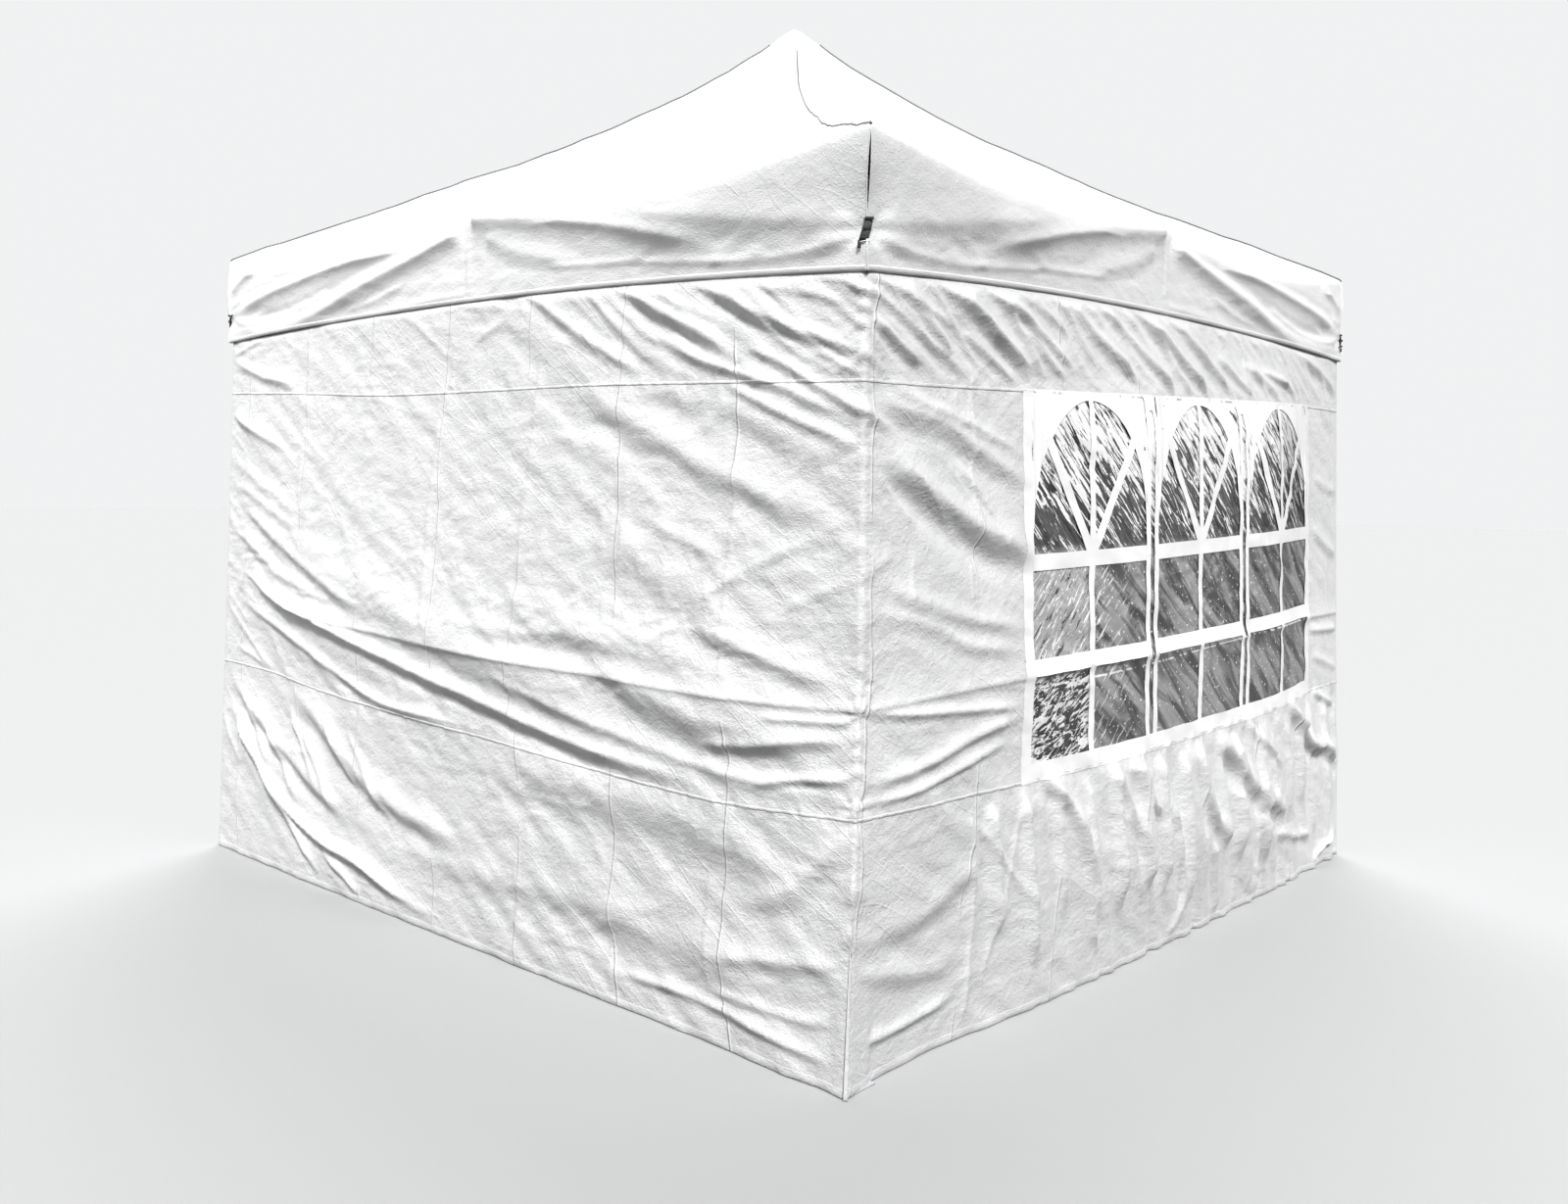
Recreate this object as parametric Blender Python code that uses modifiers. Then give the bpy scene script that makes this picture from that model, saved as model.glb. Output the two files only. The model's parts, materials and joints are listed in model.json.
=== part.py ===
"""A square folding gazebo, 3 m by 3 m, with a peaked canopy, a valance on each side and four hung walls.

Metres, +Z up. The origin is on the ground below the peak. The front, towards -Y, is a window wall, and the
left side, towards -X, is a plain wall. The back repeats the front, and the right side repeats the left.
Pieces of a side are modelled once for the front and turned about the origin for the other sides.
"""

import math

import bmesh
import bpy
from mathutils import Matrix, Vector

# Fit between neighbours that touch, and sides of the round pieces
GAP = 0.0003
BOLT_SIDES = 16
ROUND_SIDES = 24

# Canopy
HALF_SPAN = 1.500
EAVE_CORNER_Z = 2.202
EAVE_MIDDLE_Z = 2.181
EAVE_SAG = 0.045
PEAK_Z = 3.131
PEAK_ROUNDING = 0.008
STRAIGHT_SHARE = 0.8
STEEP_POWER = 5
HEM_CORNER_Z = 1.880
HEM_MIDDLE_Z = 1.930
FABRIC = 0.004
ROOF_STEPS = 10
RING_CROWDING = 1.4
EAVE_STEPS = 8
VALANCE_DROP = 0.0048

# Walls
WALL_OUT = HALF_SPAN - FABRIC - GAP
WALL_BOTTOM_Z = 0.002
WALL_TOP_Z = 2.100
WINDOW_LEFT = -0.84
WINDOW_RIGHT = 1.16
WINDOW_BOTTOM_Z = 0.62
WINDOW_TOP_Z = 1.64
FILM = 0.002

# Legs, whose corner blocks and sliders back the walls
BLOCK_HALF = 0.021
LEG_AT = WALL_OUT - FABRIC - GAP - BLOCK_HALF
OUTER_LEG = 0.032
OUTER_LEG_WALL = 0.0015
OUTER_LEG_BOTTOM_Z = 1.02
OUTER_LEG_TOP_Z = 2.105
INNER_LEG = 0.0284
INNER_LEG_WALL = 0.0012
INNER_LEG_TOP_Z = 1.35
FOOT_SIZE = 0.080
FOOT_THICK = 0.004

# Folding trusses, two crossed pairs along each side and one from each side's middle to the hub
PIN_TOP_Z = 2.140
PIN_BOTTOM_Z = 1.840
BAR_THICK = 0.012
BAR_HIGH = 0.024
BAR_PAST_PIN = 0.012
BAR_OUT = -0.018
CORNER_PIN = 0.046
MIDDLE_PIN = 0.040
INWARD_PIN = 0.045
HUB_PIN = 0.052
EAR_THICK = 0.005
EAR_HALF_HIGH = 0.014
BOLT_RADIUS = 0.005

# Brackets, hub and peak pole
SLIDER_HALF_HIGH = 0.025
SPIGOT_LONG = 0.030
MIDDLE_HALF_WIDE = 0.018
MIDDLE_IN = 0.020
MIDDLE_HALF_HIGH = 0.020
CORNER_EAR_END = 0.061
MIDDLE_EAR_END = 0.054
INWARD_EAR_END = 0.060
HUB_HALF = 0.030
HUB_HALF_HIGH = 0.020
HUB_EAR_END = 0.066
POLE_RADIUS = 0.0125
CAP_RADIUS = 0.030
CAP_SKIRT = 0.030
CAP_SOCKET = 0.024
DOME_STEPS = 8

# Order of the sides and corners, each a quarter turn further round
SIDES = ("front", "right", "back", "left")
CORNERS = ("front_left", "front_right", "back_right", "back_left")

MATERIALS = {
    "canopy_fabric": ((0.90, 0.90, 0.90), 0.45, 0.0),
    "wall_fabric": ((0.88, 0.88, 0.88), 0.45, 0.0),
    "window_film": ((0.55, 0.57, 0.58), 0.08, 0.0),
    "frame_steel": ((0.80, 0.81, 0.82), 0.35, 0.2),
    "frame_joint": ((0.08, 0.08, 0.085), 0.55, 0.0),
}


def clear_scene():
    for old in list(bpy.data.objects):
        bpy.data.objects.remove(old)


def make_materials():
    made = {}
    for name, (colour, roughness, metallic) in MATERIALS.items():
        material = bpy.data.materials.new(name)
        material.use_nodes = True
        shader = material.node_tree.nodes["Principled BSDF"]
        shader.inputs["Base Color"].default_value = (*colour, 1.0)
        shader.inputs["Roughness"].default_value = roughness
        shader.inputs["Metallic"].default_value = metallic
        made[name] = material
    return made


def object_from(mesh, name="solid"):
    piece = bpy.data.objects.new(name, mesh)
    bpy.context.scene.collection.objects.link(piece)
    return piece


def mesh_from(bm, name="solid"):
    mesh = bpy.data.meshes.new(name)
    bm.to_mesh(mesh)
    bm.free()
    return mesh


def block(low, high, turn=0.0):
    """A box between two corners, then turned about the Z axis."""
    low = Vector(low)
    high = Vector(high)
    bm = bmesh.new()
    bmesh.ops.create_cube(bm, size=1.0)
    sides = high - low
    bmesh.ops.scale(bm, vec=sides, verts=bm.verts)
    bmesh.ops.translate(bm, vec=(low + high) / 2, verts=bm.verts)
    bmesh.ops.rotate(bm, cent=(0, 0, 0), matrix=Matrix.Rotation(turn, 3, "Z"), verts=bm.verts)
    return object_from(mesh_from(bm))


def rod(centre, radius, length, axis, sides):
    """A round rod along X, Y or Z."""
    turns = {"X": Matrix.Rotation(math.pi / 2, 3, "Y"), "Y": Matrix.Rotation(math.pi / 2, 3, "X")}
    bm = bmesh.new()
    bmesh.ops.create_cone(
        bm, cap_ends=True, segments=sides, radius1=radius, radius2=radius, depth=length
    )
    if axis in turns:
        bmesh.ops.rotate(bm, cent=(0, 0, 0), matrix=turns[axis], verts=bm.verts)
    bmesh.ops.translate(bm, vec=centre, verts=bm.verts)
    return object_from(mesh_from(bm))


def evaluated_mesh(piece, name):
    bpy.context.view_layer.update()
    graph = bpy.context.evaluated_depsgraph_get()
    mesh = bpy.data.meshes.new_from_object(piece.evaluated_get(graph))
    mesh.name = name
    return mesh


def combine(name, operation, solids):
    """One closed mesh: the first solid joined with, or cut by, the others."""
    first = solids[0]
    for other in solids[1:]:
        step = first.modifiers.new(operation.lower(), "BOOLEAN")
        step.operation = operation
        step.solver = "EXACT"
        step.object = other
    mesh = evaluated_mesh(first, name)
    for solid in solids:
        bpy.data.objects.remove(solid)
    return mesh


def square_tube(name, side, wall, bottom, top):
    """A hollow square tube, open at both ends."""
    bm = bmesh.new()
    bmesh.ops.create_cube(bm, size=1.0)
    ends = [face for face in bm.faces if abs(face.normal.z) > 0.5]
    bmesh.ops.delete(bm, geom=ends, context="FACES_ONLY")
    bmesh.ops.scale(bm, vec=(side, side, top - bottom), verts=bm.verts)
    bmesh.ops.translate(bm, vec=(0, 0, (top + bottom) / 2), verts=bm.verts)
    piece = object_from(mesh_from(bm, name))
    shell = piece.modifiers.new("wall", "SOLIDIFY")
    shell.thickness = wall
    shell.offset = -1
    shell.use_even_offset = True
    mesh = evaluated_mesh(piece, name)
    bpy.data.objects.remove(piece)
    return mesh


def rise(outward):
    """Share of the roof's height that is reached at this share of the way out from the peak."""
    rounded = math.hypot(outward, PEAK_ROUNDING) - PEAK_ROUNDING
    inward = 1 - rounded
    return STRAIGHT_SHARE * inward + (1 - STRAIGHT_SHARE) * inward**STEEP_POWER


def eave_z(along):
    """Height of the eave: along is -1 and 1 at the corners and 0 at the middle of the side."""
    share = abs(along)
    sag = 4 * EAVE_SAG * share * (1 - share)
    return EAVE_MIDDLE_Z + (EAVE_CORNER_Z - EAVE_MIDDLE_Z) * share - sag


def roof_z(outward, along):
    eave = eave_z(along)
    return eave + (PEAK_Z - eave) * rise(outward)


def eave_places():
    return [step / EAVE_STEPS for step in range(-EAVE_STEPS, EAVE_STEPS + 1)]


def hem_z(along):
    return HEM_MIDDLE_Z + (HEM_CORNER_Z - HEM_MIDDLE_Z) * along * along


def whole_roof():
    """The pyramid of the canopy with hollow-curved hips: rings of points round the peak, then a thin shell."""
    bm = bmesh.new()
    peak = bm.verts.new((0, 0, PEAK_Z))
    rings = []
    for step in range(1, ROOF_STEPS + 1):
        outward = (step / ROOF_STEPS) ** RING_CROWDING
        ring = []
        for quarter in range(4):
            turn = Matrix.Rotation(quarter * math.pi / 2, 3, "Z")
            for along in eave_places()[:-1]:
                reach = HALF_SPAN * outward
                point = Vector((along * reach, -reach, roof_z(outward, along)))
                ring.append(bm.verts.new(turn @ point))
        rings.append(ring)
    count = len(rings[0])
    for index in range(count):
        bm.faces.new((peak, rings[0][index], rings[0][(index + 1) % count]))
    for inner, outer in zip(rings, rings[1:]):
        for index in range(count):
            after = (index + 1) % count
            bm.faces.new((inner[index], outer[index], outer[after], inner[after]))
    bmesh.ops.recalc_face_normals(bm, faces=bm.faces)
    if sum(face.normal.z for face in bm.faces) < 0:
        bmesh.ops.reverse_faces(bm, faces=bm.faces)
    piece = object_from(mesh_from(bm, "whole_roof"))
    shell = piece.modifiers.new("cloth", "SOLIDIFY")
    shell.thickness = FABRIC
    shell.offset = -1
    return piece


def roof_panel_mesh():
    """The front quarter of the roof, cut at the two hips, where the real panels are sewn together."""
    wedge = block((0, 0, 0), (2 * HALF_SPAN, 2 * HALF_SPAN, 2 * PEAK_Z), turn=-0.75 * math.pi)
    wedge.location.y = -GAP / math.sqrt(2)
    return combine("roof_panel", "INTERSECT", [whole_roof(), wedge])


def valance_mesh(name, half_wide):
    """The hanging edge of the canopy, its top under the eave and its hem arched up at the middle."""
    bm = bmesh.new()
    rows = []
    for height in (lambda along: eave_z(along) - VALANCE_DROP, hem_z):
        rows.append(
            [bm.verts.new((along * half_wide, -HALF_SPAN, height(along))) for along in eave_places()]
        )
    top, hem = rows
    for index in range(len(top) - 1):
        bm.faces.new((hem[index], hem[index + 1], top[index + 1], top[index]))
    piece = object_from(mesh_from(bm, name))
    shell = piece.modifiers.new("cloth", "SOLIDIFY")
    shell.thickness = FABRIC
    shell.offset = -1
    mesh = evaluated_mesh(piece, name)
    bpy.data.objects.remove(piece)
    return mesh


def wall_slab(half_wide):
    return block(
        (-half_wide, -WALL_OUT, WALL_BOTTOM_Z), (half_wide, -WALL_OUT + FABRIC, WALL_TOP_Z)
    )


def window_wall_mesh():
    hole = block(
        (WINDOW_LEFT, -WALL_OUT - FABRIC, WINDOW_BOTTOM_Z),
        (WINDOW_RIGHT, -WALL_OUT + 2 * FABRIC, WINDOW_TOP_Z),
    )
    return combine("window_wall", "DIFFERENCE", [wall_slab(WALL_OUT), hole])


def plain_wall_mesh():
    return combine("plain_wall", "UNION", [wall_slab(WALL_OUT - FABRIC - GAP)])


def window_mesh():
    middle = -WALL_OUT + FABRIC / 2
    film = block(
        (WINDOW_LEFT + GAP, middle - FILM / 2, WINDOW_BOTTOM_Z + GAP),
        (WINDOW_RIGHT - GAP, middle + FILM / 2, WINDOW_TOP_Z - GAP),
    )
    return combine("window", "UNION", [film])


def inner_leg_mesh():
    """The lower leg: a tube that stands on its square foot plate, whose outer edges back the walls."""
    tube = object_from(
        square_tube("inner_leg", INNER_LEG, INNER_LEG_WALL, FOOT_THICK / 2, INNER_LEG_TOP_Z)
    )
    plate = block(
        (-BLOCK_HALF, -BLOCK_HALF, 0), (FOOT_SIZE - BLOCK_HALF, FOOT_SIZE - BLOCK_HALF, FOOT_THICK)
    )
    return combine("inner_leg", "UNION", [tube, plate])


def outer_leg_mesh():
    return square_tube(
        "outer_leg", OUTER_LEG, OUTER_LEG_WALL, OUTER_LEG_BOTTOM_Z, OUTER_LEG_TOP_Z - GAP
    )


# Layers of the side trusses, measured from the plane of the legs, outwards negative
OUTER_LAYER = (BAR_OUT, BAR_OUT + BAR_THICK)
INNER_LAYER = (OUTER_LAYER[1] + GAP, OUTER_LAYER[1] + GAP + BAR_THICK)
EAR_BY_OUTER_BAR = (INNER_LAYER[0], INNER_LAYER[0] + EAR_THICK)
EAR_BY_INNER_BAR = (OUTER_LAYER[1] - EAR_THICK, OUTER_LAYER[1])

# Layers of the trusses that run inwards, either side of their centre line
RIGHT_LAYER = (GAP / 2, GAP / 2 + BAR_THICK)
LEFT_LAYER = (-GAP / 2 - BAR_THICK, -GAP / 2)
EAR_ON_RIGHT = (GAP / 2, GAP / 2 + EAR_THICK)
EAR_ON_LEFT = (-GAP / 2 - EAR_THICK, -GAP / 2)


def ears(pin_z, layer):
    """The pair of ears at a leg, along both sides that meet there; the leg's axis is the origin."""
    low, high = pin_z - EAR_HALF_HIGH, pin_z + EAR_HALF_HIGH
    root = BLOCK_HALF - EAR_THICK
    return [
        block((root, layer[0], low), (CORNER_EAR_END, layer[1], high)),
        block((layer[0], root, low), (layer[1], CORNER_EAR_END, high)),
    ]


def corner_bracket_mesh():
    """The block on top of a leg, with a spigot in the leg's tube and an ear for each side's truss."""
    inner, outer = LEG_AT - BLOCK_HALF, LEG_AT + BLOCK_HALF
    top = min(roof_underside(outer, outer), roof_underside(outer, inner)) - GAP
    body = block((-BLOCK_HALF, -BLOCK_HALF, OUTER_LEG_TOP_Z), (BLOCK_HALF, BLOCK_HALF, top))
    half = OUTER_LEG / 2 - OUTER_LEG_WALL - GAP
    spigot = block((-half, -half, OUTER_LEG_TOP_Z - SPIGOT_LONG), (half, half, OUTER_LEG_TOP_Z + GAP))
    return combine("corner_bracket", "UNION", [body, spigot] + ears(PIN_TOP_Z, EAR_BY_OUTER_BAR))


def slider_mesh():
    """The sleeve that runs on a leg when the frame folds, with an ear for each side's truss."""
    low, high = PIN_BOTTOM_Z - SLIDER_HALF_HIGH, PIN_BOTTOM_Z + SLIDER_HALF_HIGH
    body = block((-BLOCK_HALF, -BLOCK_HALF, low), (BLOCK_HALF, BLOCK_HALF, high))
    joined = combine("slider", "UNION", [body] + ears(PIN_BOTTOM_Z, EAR_BY_INNER_BAR))
    half = OUTER_LEG / 2 + GAP
    bore = block((-half, -half, low - GAP), (half, half, high + GAP))
    return combine("slider", "DIFFERENCE", [object_from(joined), bore])


def roof_underside(x, y):
    """Lowest height of the roof's inner face above a point, with the cloth's thickness taken off."""
    reach = max(abs(x), abs(y))
    along = min(abs(x), abs(y)) / reach
    slope = (PEAK_Z - EAVE_MIDDLE_Z) / HALF_SPAN
    return roof_z(reach / HALF_SPAN, along) - FABRIC * math.hypot(1, slope)


def bar(start, end, layer, along_x):
    """A flat bar from pin to pin, a little longer at both ends, standing in its layer."""
    (start_at, start_z), (end_at, end_z) = start, end
    run, climb = end_at - start_at, end_z - start_z
    half_long = math.hypot(run, climb) / 2 + BAR_PAST_PIN
    bm = bmesh.new()
    bmesh.ops.create_cube(bm, size=1.0)
    bmesh.ops.scale(bm, vec=(2 * half_long, layer[1] - layer[0], BAR_HIGH), verts=bm.verts)
    tilt = Matrix.Rotation(-math.atan2(climb, run), 3, "Y")
    bmesh.ops.rotate(bm, cent=(0, 0, 0), matrix=tilt, verts=bm.verts)
    middle = ((start_at + end_at) / 2, (layer[0] + layer[1]) / 2, (start_z + end_z) / 2)
    bmesh.ops.translate(bm, vec=middle, verts=bm.verts)
    if not along_x:
        bmesh.ops.rotate(bm, cent=(0, 0, 0), matrix=Matrix.Rotation(math.pi / 2, 3, "Z"), verts=bm.verts)
    return object_from(mesh_from(bm))


def side_truss_mesh(name, hand):
    """A crossed pair from a leg to the middle of the side; hand is -1 for the left half, 1 for the right."""
    leg_pin, middle_pin = hand * (LEG_AT - CORNER_PIN), hand * MIDDLE_PIN
    falling = bar((leg_pin, PIN_TOP_Z), (middle_pin, PIN_BOTTOM_Z), OUTER_LAYER, True)
    climbing = bar((leg_pin, PIN_BOTTOM_Z), (middle_pin, PIN_TOP_Z), INNER_LAYER, True)
    across = (OUTER_LAYER[0] + INNER_LAYER[1]) / 2
    cross = ((leg_pin + middle_pin) / 2, across, (PIN_TOP_Z + PIN_BOTTOM_Z) / 2)
    bolt = rod(cross, BOLT_RADIUS, 2 * BAR_THICK, "Y", BOLT_SIDES)
    return combine(name, "UNION", [falling, climbing, bolt])


def inner_truss_mesh():
    """A crossed pair from the middle of a side to the hub, along Y, measured from the plane of the legs."""
    start, end = INWARD_PIN, LEG_AT - HUB_PIN
    left = tuple(-edge for edge in reversed(RIGHT_LAYER))
    right = tuple(-edge for edge in reversed(LEFT_LAYER))
    falling = bar((start, PIN_TOP_Z), (end, PIN_BOTTOM_Z), left, False)
    climbing = bar((start, PIN_BOTTOM_Z), (end, PIN_TOP_Z), right, False)
    cross = (0, (start + end) / 2, (PIN_TOP_Z + PIN_BOTTOM_Z) / 2)
    bolt = rod(cross, BOLT_RADIUS, 2 * BAR_THICK, "X", BOLT_SIDES)
    return combine("inner_truss", "UNION", [falling, climbing, bolt])


def middle_bracket_mesh(name, pin_z, side_layer, inward_layer, top):
    """The bracket at the middle of a side, with two ears along the side and one ear inwards."""
    low, high = pin_z - EAR_HALF_HIGH, pin_z + EAR_HALF_HIGH
    body = block(
        (-MIDDLE_HALF_WIDE, BAR_OUT, pin_z - MIDDLE_HALF_HIGH), (MIDDLE_HALF_WIDE, MIDDLE_IN, top)
    )
    along = block((-MIDDLE_EAR_END, side_layer[0], low), (MIDDLE_EAR_END, side_layer[1], high))
    inward = block((inward_layer[0], 0, low), (inward_layer[1], INWARD_EAR_END, high))
    return combine(name, "UNION", [body, along, inward])


def hub_mesh(name, pin_z, layer, through):
    """A square block with an ear towards each side and a hole for the peak pole."""
    low, high = pin_z - HUB_HALF_HIGH, pin_z + HUB_HALF_HIGH
    solids = [block((-HUB_HALF, -HUB_HALF, low), (HUB_HALF, HUB_HALF, high))]
    for quarter in range(4):
        solids.append(
            block(
                (layer[0], -HUB_EAR_END, pin_z - EAR_HALF_HIGH),
                (layer[1], -HUB_HALF + EAR_THICK, pin_z + EAR_HALF_HIGH),
                turn=quarter * math.pi / 2,
            )
        )
    joined = combine(name, "UNION", solids)
    floor = low - GAP if through else pin_z
    hole = rod((0, 0, (floor + high + GAP) / 2), POLE_RADIUS + GAP, high + GAP - floor, "Z", ROUND_SIDES)
    return combine(name, "DIFFERENCE", [object_from(joined), hole])


def cap_top_z():
    """Height of the cap's dome, which the steep cloth round the peak touches in a ring."""
    steeper = STRAIGHT_SHARE + (1 - STRAIGHT_SHARE) * STEEP_POWER
    stretch = math.hypot(1, (PEAK_Z - EAVE_MIDDLE_Z) / HALF_SPAN * steeper)
    return PEAK_Z - FABRIC * stretch - CAP_RADIUS * (stretch - 1) - GAP


def cap_mesh():
    """The plastic cap on the pole that carries the peak: a dome on a skirt, with a socket below."""
    top = cap_top_z()
    bottom = top - CAP_RADIUS - CAP_SKIRT
    socket = POLE_RADIUS + GAP
    profile = []
    for step in range(DOME_STEPS + 1):
        angle = step / DOME_STEPS * math.pi / 2
        profile.append((CAP_RADIUS * math.sin(angle), top - CAP_RADIUS * (1 - math.cos(angle))))
    socket_end = bottom + CAP_SOCKET
    profile += [(CAP_RADIUS, bottom), (socket, bottom), (socket, socket_end), (0, socket_end)]
    bm = bmesh.new()
    points = [bm.verts.new((x, 0, z)) for x, z in profile]
    for first, second in zip(points, points[1:]):
        bm.edges.new((first, second))
    piece = object_from(mesh_from(bm, "peak_cap"))
    turned = piece.modifiers.new("turn", "SCREW")
    turned.steps = ROUND_SIDES
    turned.render_steps = ROUND_SIDES
    turned.use_merge_vertices = True
    turned.merge_threshold = 0.0001
    mesh = evaluated_mesh(piece, "peak_cap")
    bpy.data.objects.remove(piece)
    return mesh


def pole_mesh():
    bottom = PIN_BOTTOM_Z + GAP
    top = cap_top_z() - CAP_RADIUS - CAP_SKIRT + CAP_SOCKET - GAP
    pole = rod((0, 0, (top + bottom) / 2), POLE_RADIUS, top - bottom, "Z", ROUND_SIDES)
    return combine("peak_pole", "UNION", [pole])


def place(collection, root, name, mesh, material, turn=0.0, location=(0, 0, 0)):
    piece = bpy.data.objects.new(name, mesh)
    if not mesh.materials:
        mesh.materials.append(material)
    piece.rotation_euler = (0, 0, turn)
    piece.location = location
    piece.parent = root
    collection.objects.link(piece)
    return piece


def build():
    clear_scene()
    materials = make_materials()
    collection = bpy.data.collections.new("folding_gazebo")
    bpy.context.scene.collection.children.link(collection)
    root = bpy.data.objects.new("gazebo_origin", None)
    collection.objects.link(root)

    def put(name, mesh, slot, turn=0.0, location=(0, 0, 0)):
        place(collection, root, name, mesh, materials[slot], turn, location)

    roof_panel = roof_panel_mesh()
    wide = valance_mesh("wide_valance", HALF_SPAN)
    narrow = valance_mesh("narrow_valance", HALF_SPAN - FABRIC - GAP)
    window_wall, plain_wall, window = window_wall_mesh(), plain_wall_mesh(), window_mesh()
    trusses = {"left": side_truss_mesh("truss_left", -1), "right": side_truss_mesh("truss_right", 1)}
    inner_truss = inner_truss_mesh()
    under_roof = roof_underside(MIDDLE_HALF_WIDE, LEG_AT - BAR_OUT) - GAP
    middle_top = middle_bracket_mesh(
        "middle_bracket_top", PIN_TOP_Z, EAR_BY_INNER_BAR, EAR_ON_LEFT, under_roof
    )
    over_pin = PIN_BOTTOM_Z + MIDDLE_HALF_HIGH
    middle_bottom = middle_bracket_mesh(
        "middle_bracket_bottom", PIN_BOTTOM_Z, EAR_BY_OUTER_BAR, EAR_ON_RIGHT, over_pin
    )
    for quarter, side in enumerate(SIDES):
        turn = quarter * math.pi / 2
        middle = Matrix.Rotation(turn, 3, "Z") @ Vector((0, -LEG_AT, 0))
        has_window = side in ("front", "back")
        put(f"{side}_roof_panel", roof_panel, "canopy_fabric", turn)
        put(f"{side}_valance", wide if has_window else narrow, "canopy_fabric", turn)
        put(f"{side}_wall", window_wall if has_window else plain_wall, "wall_fabric", turn)
        if has_window:
            put(f"{side}_window", window, "window_film", turn)
        for half, mesh in trusses.items():
            put(f"{side}_truss_{half}", mesh, "frame_steel", turn, middle)
        put(f"{side}_truss_inner", inner_truss, "frame_steel", turn, middle)
        put(f"{side}_middle_bracket_top", middle_top, "frame_joint", turn, middle)
        put(f"{side}_middle_bracket_bottom", middle_bottom, "frame_joint", turn, middle)

    outer_leg, inner_leg = outer_leg_mesh(), inner_leg_mesh()
    corner_bracket, slider = corner_bracket_mesh(), slider_mesh()
    for quarter, corner in enumerate(CORNERS):
        turn = quarter * math.pi / 2
        foot = Matrix.Rotation(turn, 3, "Z") @ Vector((-LEG_AT, -LEG_AT, 0))
        put(f"{corner}_leg_upper", outer_leg, "frame_steel", turn, foot)
        put(f"{corner}_leg_lower", inner_leg, "frame_steel", turn, foot)
        put(f"{corner}_corner_bracket", corner_bracket, "frame_joint", turn, foot)
        put(f"{corner}_slider", slider, "frame_joint", turn, foot)

    put("hub_top", hub_mesh("hub_top", PIN_TOP_Z, EAR_ON_RIGHT, True), "frame_joint")
    put("hub_bottom", hub_mesh("hub_bottom", PIN_BOTTOM_Z, EAR_ON_LEFT, False), "frame_joint")
    put("peak_pole", pole_mesh(), "frame_steel")
    put("peak_cap", cap_mesh(), "frame_joint")


build()
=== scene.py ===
"""The looks of a square folding gazebo: creased white cloth, printed window film and the frame's finish.

Metres, +Z up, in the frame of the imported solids. The camera looks at the corner between the left wall,
towards -X, and the front wall, towards -Y. These two walls are described as one cloth unrolled round that
corner: p runs from -3 at the far end of the left wall, over 0 at the near corner, to 3 at the far end of
the front wall, and z is the height. The right and back walls are the same two, turned half round.
"""
import json
import math

import bmesh
import bpy
import numpy as np
from mathutils import Matrix, Vector


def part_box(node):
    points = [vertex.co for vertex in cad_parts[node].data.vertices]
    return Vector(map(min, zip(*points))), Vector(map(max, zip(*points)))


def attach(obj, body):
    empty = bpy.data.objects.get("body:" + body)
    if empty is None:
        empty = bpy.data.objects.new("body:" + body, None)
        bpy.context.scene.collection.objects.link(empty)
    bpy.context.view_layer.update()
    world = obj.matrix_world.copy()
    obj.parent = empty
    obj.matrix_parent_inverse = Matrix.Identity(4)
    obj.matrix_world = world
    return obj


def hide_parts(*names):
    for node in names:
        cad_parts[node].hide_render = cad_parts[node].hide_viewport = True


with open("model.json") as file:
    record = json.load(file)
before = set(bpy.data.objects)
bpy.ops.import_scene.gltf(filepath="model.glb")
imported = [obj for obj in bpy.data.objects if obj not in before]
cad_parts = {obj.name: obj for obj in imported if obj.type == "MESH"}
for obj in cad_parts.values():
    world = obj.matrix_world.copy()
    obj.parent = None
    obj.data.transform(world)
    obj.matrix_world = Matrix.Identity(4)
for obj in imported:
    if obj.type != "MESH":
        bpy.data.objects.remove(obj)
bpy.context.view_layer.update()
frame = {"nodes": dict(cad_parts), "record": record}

# Driving sizes, read from the frame
HALF = max(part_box("front_valance")[1].x, -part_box("front_valance")[0].y)
PEAK_Z = max(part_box(f"{side}_roof_panel")[1].z for side in ("front", "right", "back", "left"))
WALL_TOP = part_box("left_wall")[1].z
WALL_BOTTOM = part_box("left_wall")[0].z
WALL_HALF = -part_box("left_wall")[0].x
WINDOW_LOW, WINDOW_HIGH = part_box("front_window")
WINDOW_EDGES = (WINDOW_LOW.x + HALF, WINDOW_HIGH.x + HALF)
SIDE = 2 * HALF

# Canopy
EAVE_CORNER_Z = 2.202
EAVE_MIDDLE_Z = 2.181
EAVE_SAG = 0.034
PEAK_ROUNDING = 0.008
STRAIGHT_SHARE = 0.8
STEEP_POWER = 5
HIP_HOLLOW = 0.150
HEM_CORNER_Z = 1.880
HEM_FAR_CORNER_Z = 1.897
HEM_MIDDLE_Z = 1.930
HEM_BAND = 0.014
TIE_Z = 1.975
ROOF_RINGS = 44
EAVE_RINGS = (0.9885, 0.9918, 0.9946, 0.9968, 0.9985, 1.0)
VALANCE_ROWS = 46
VALANCE_FOLD_GAIN = 1.40
CANOPY_COLUMNS = 208
CORNER_SHARE = 0.04
SLIT = 0.0016
ROOF_SLANT = math.hypot(HALF, PEAK_Z - EAVE_MIDDLE_Z)
VALANCE_DROP = (EAVE_MIDDLE_Z + EAVE_CORNER_Z - HEM_MIDDLE_Z - HEM_CORNER_Z) / 2

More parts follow.
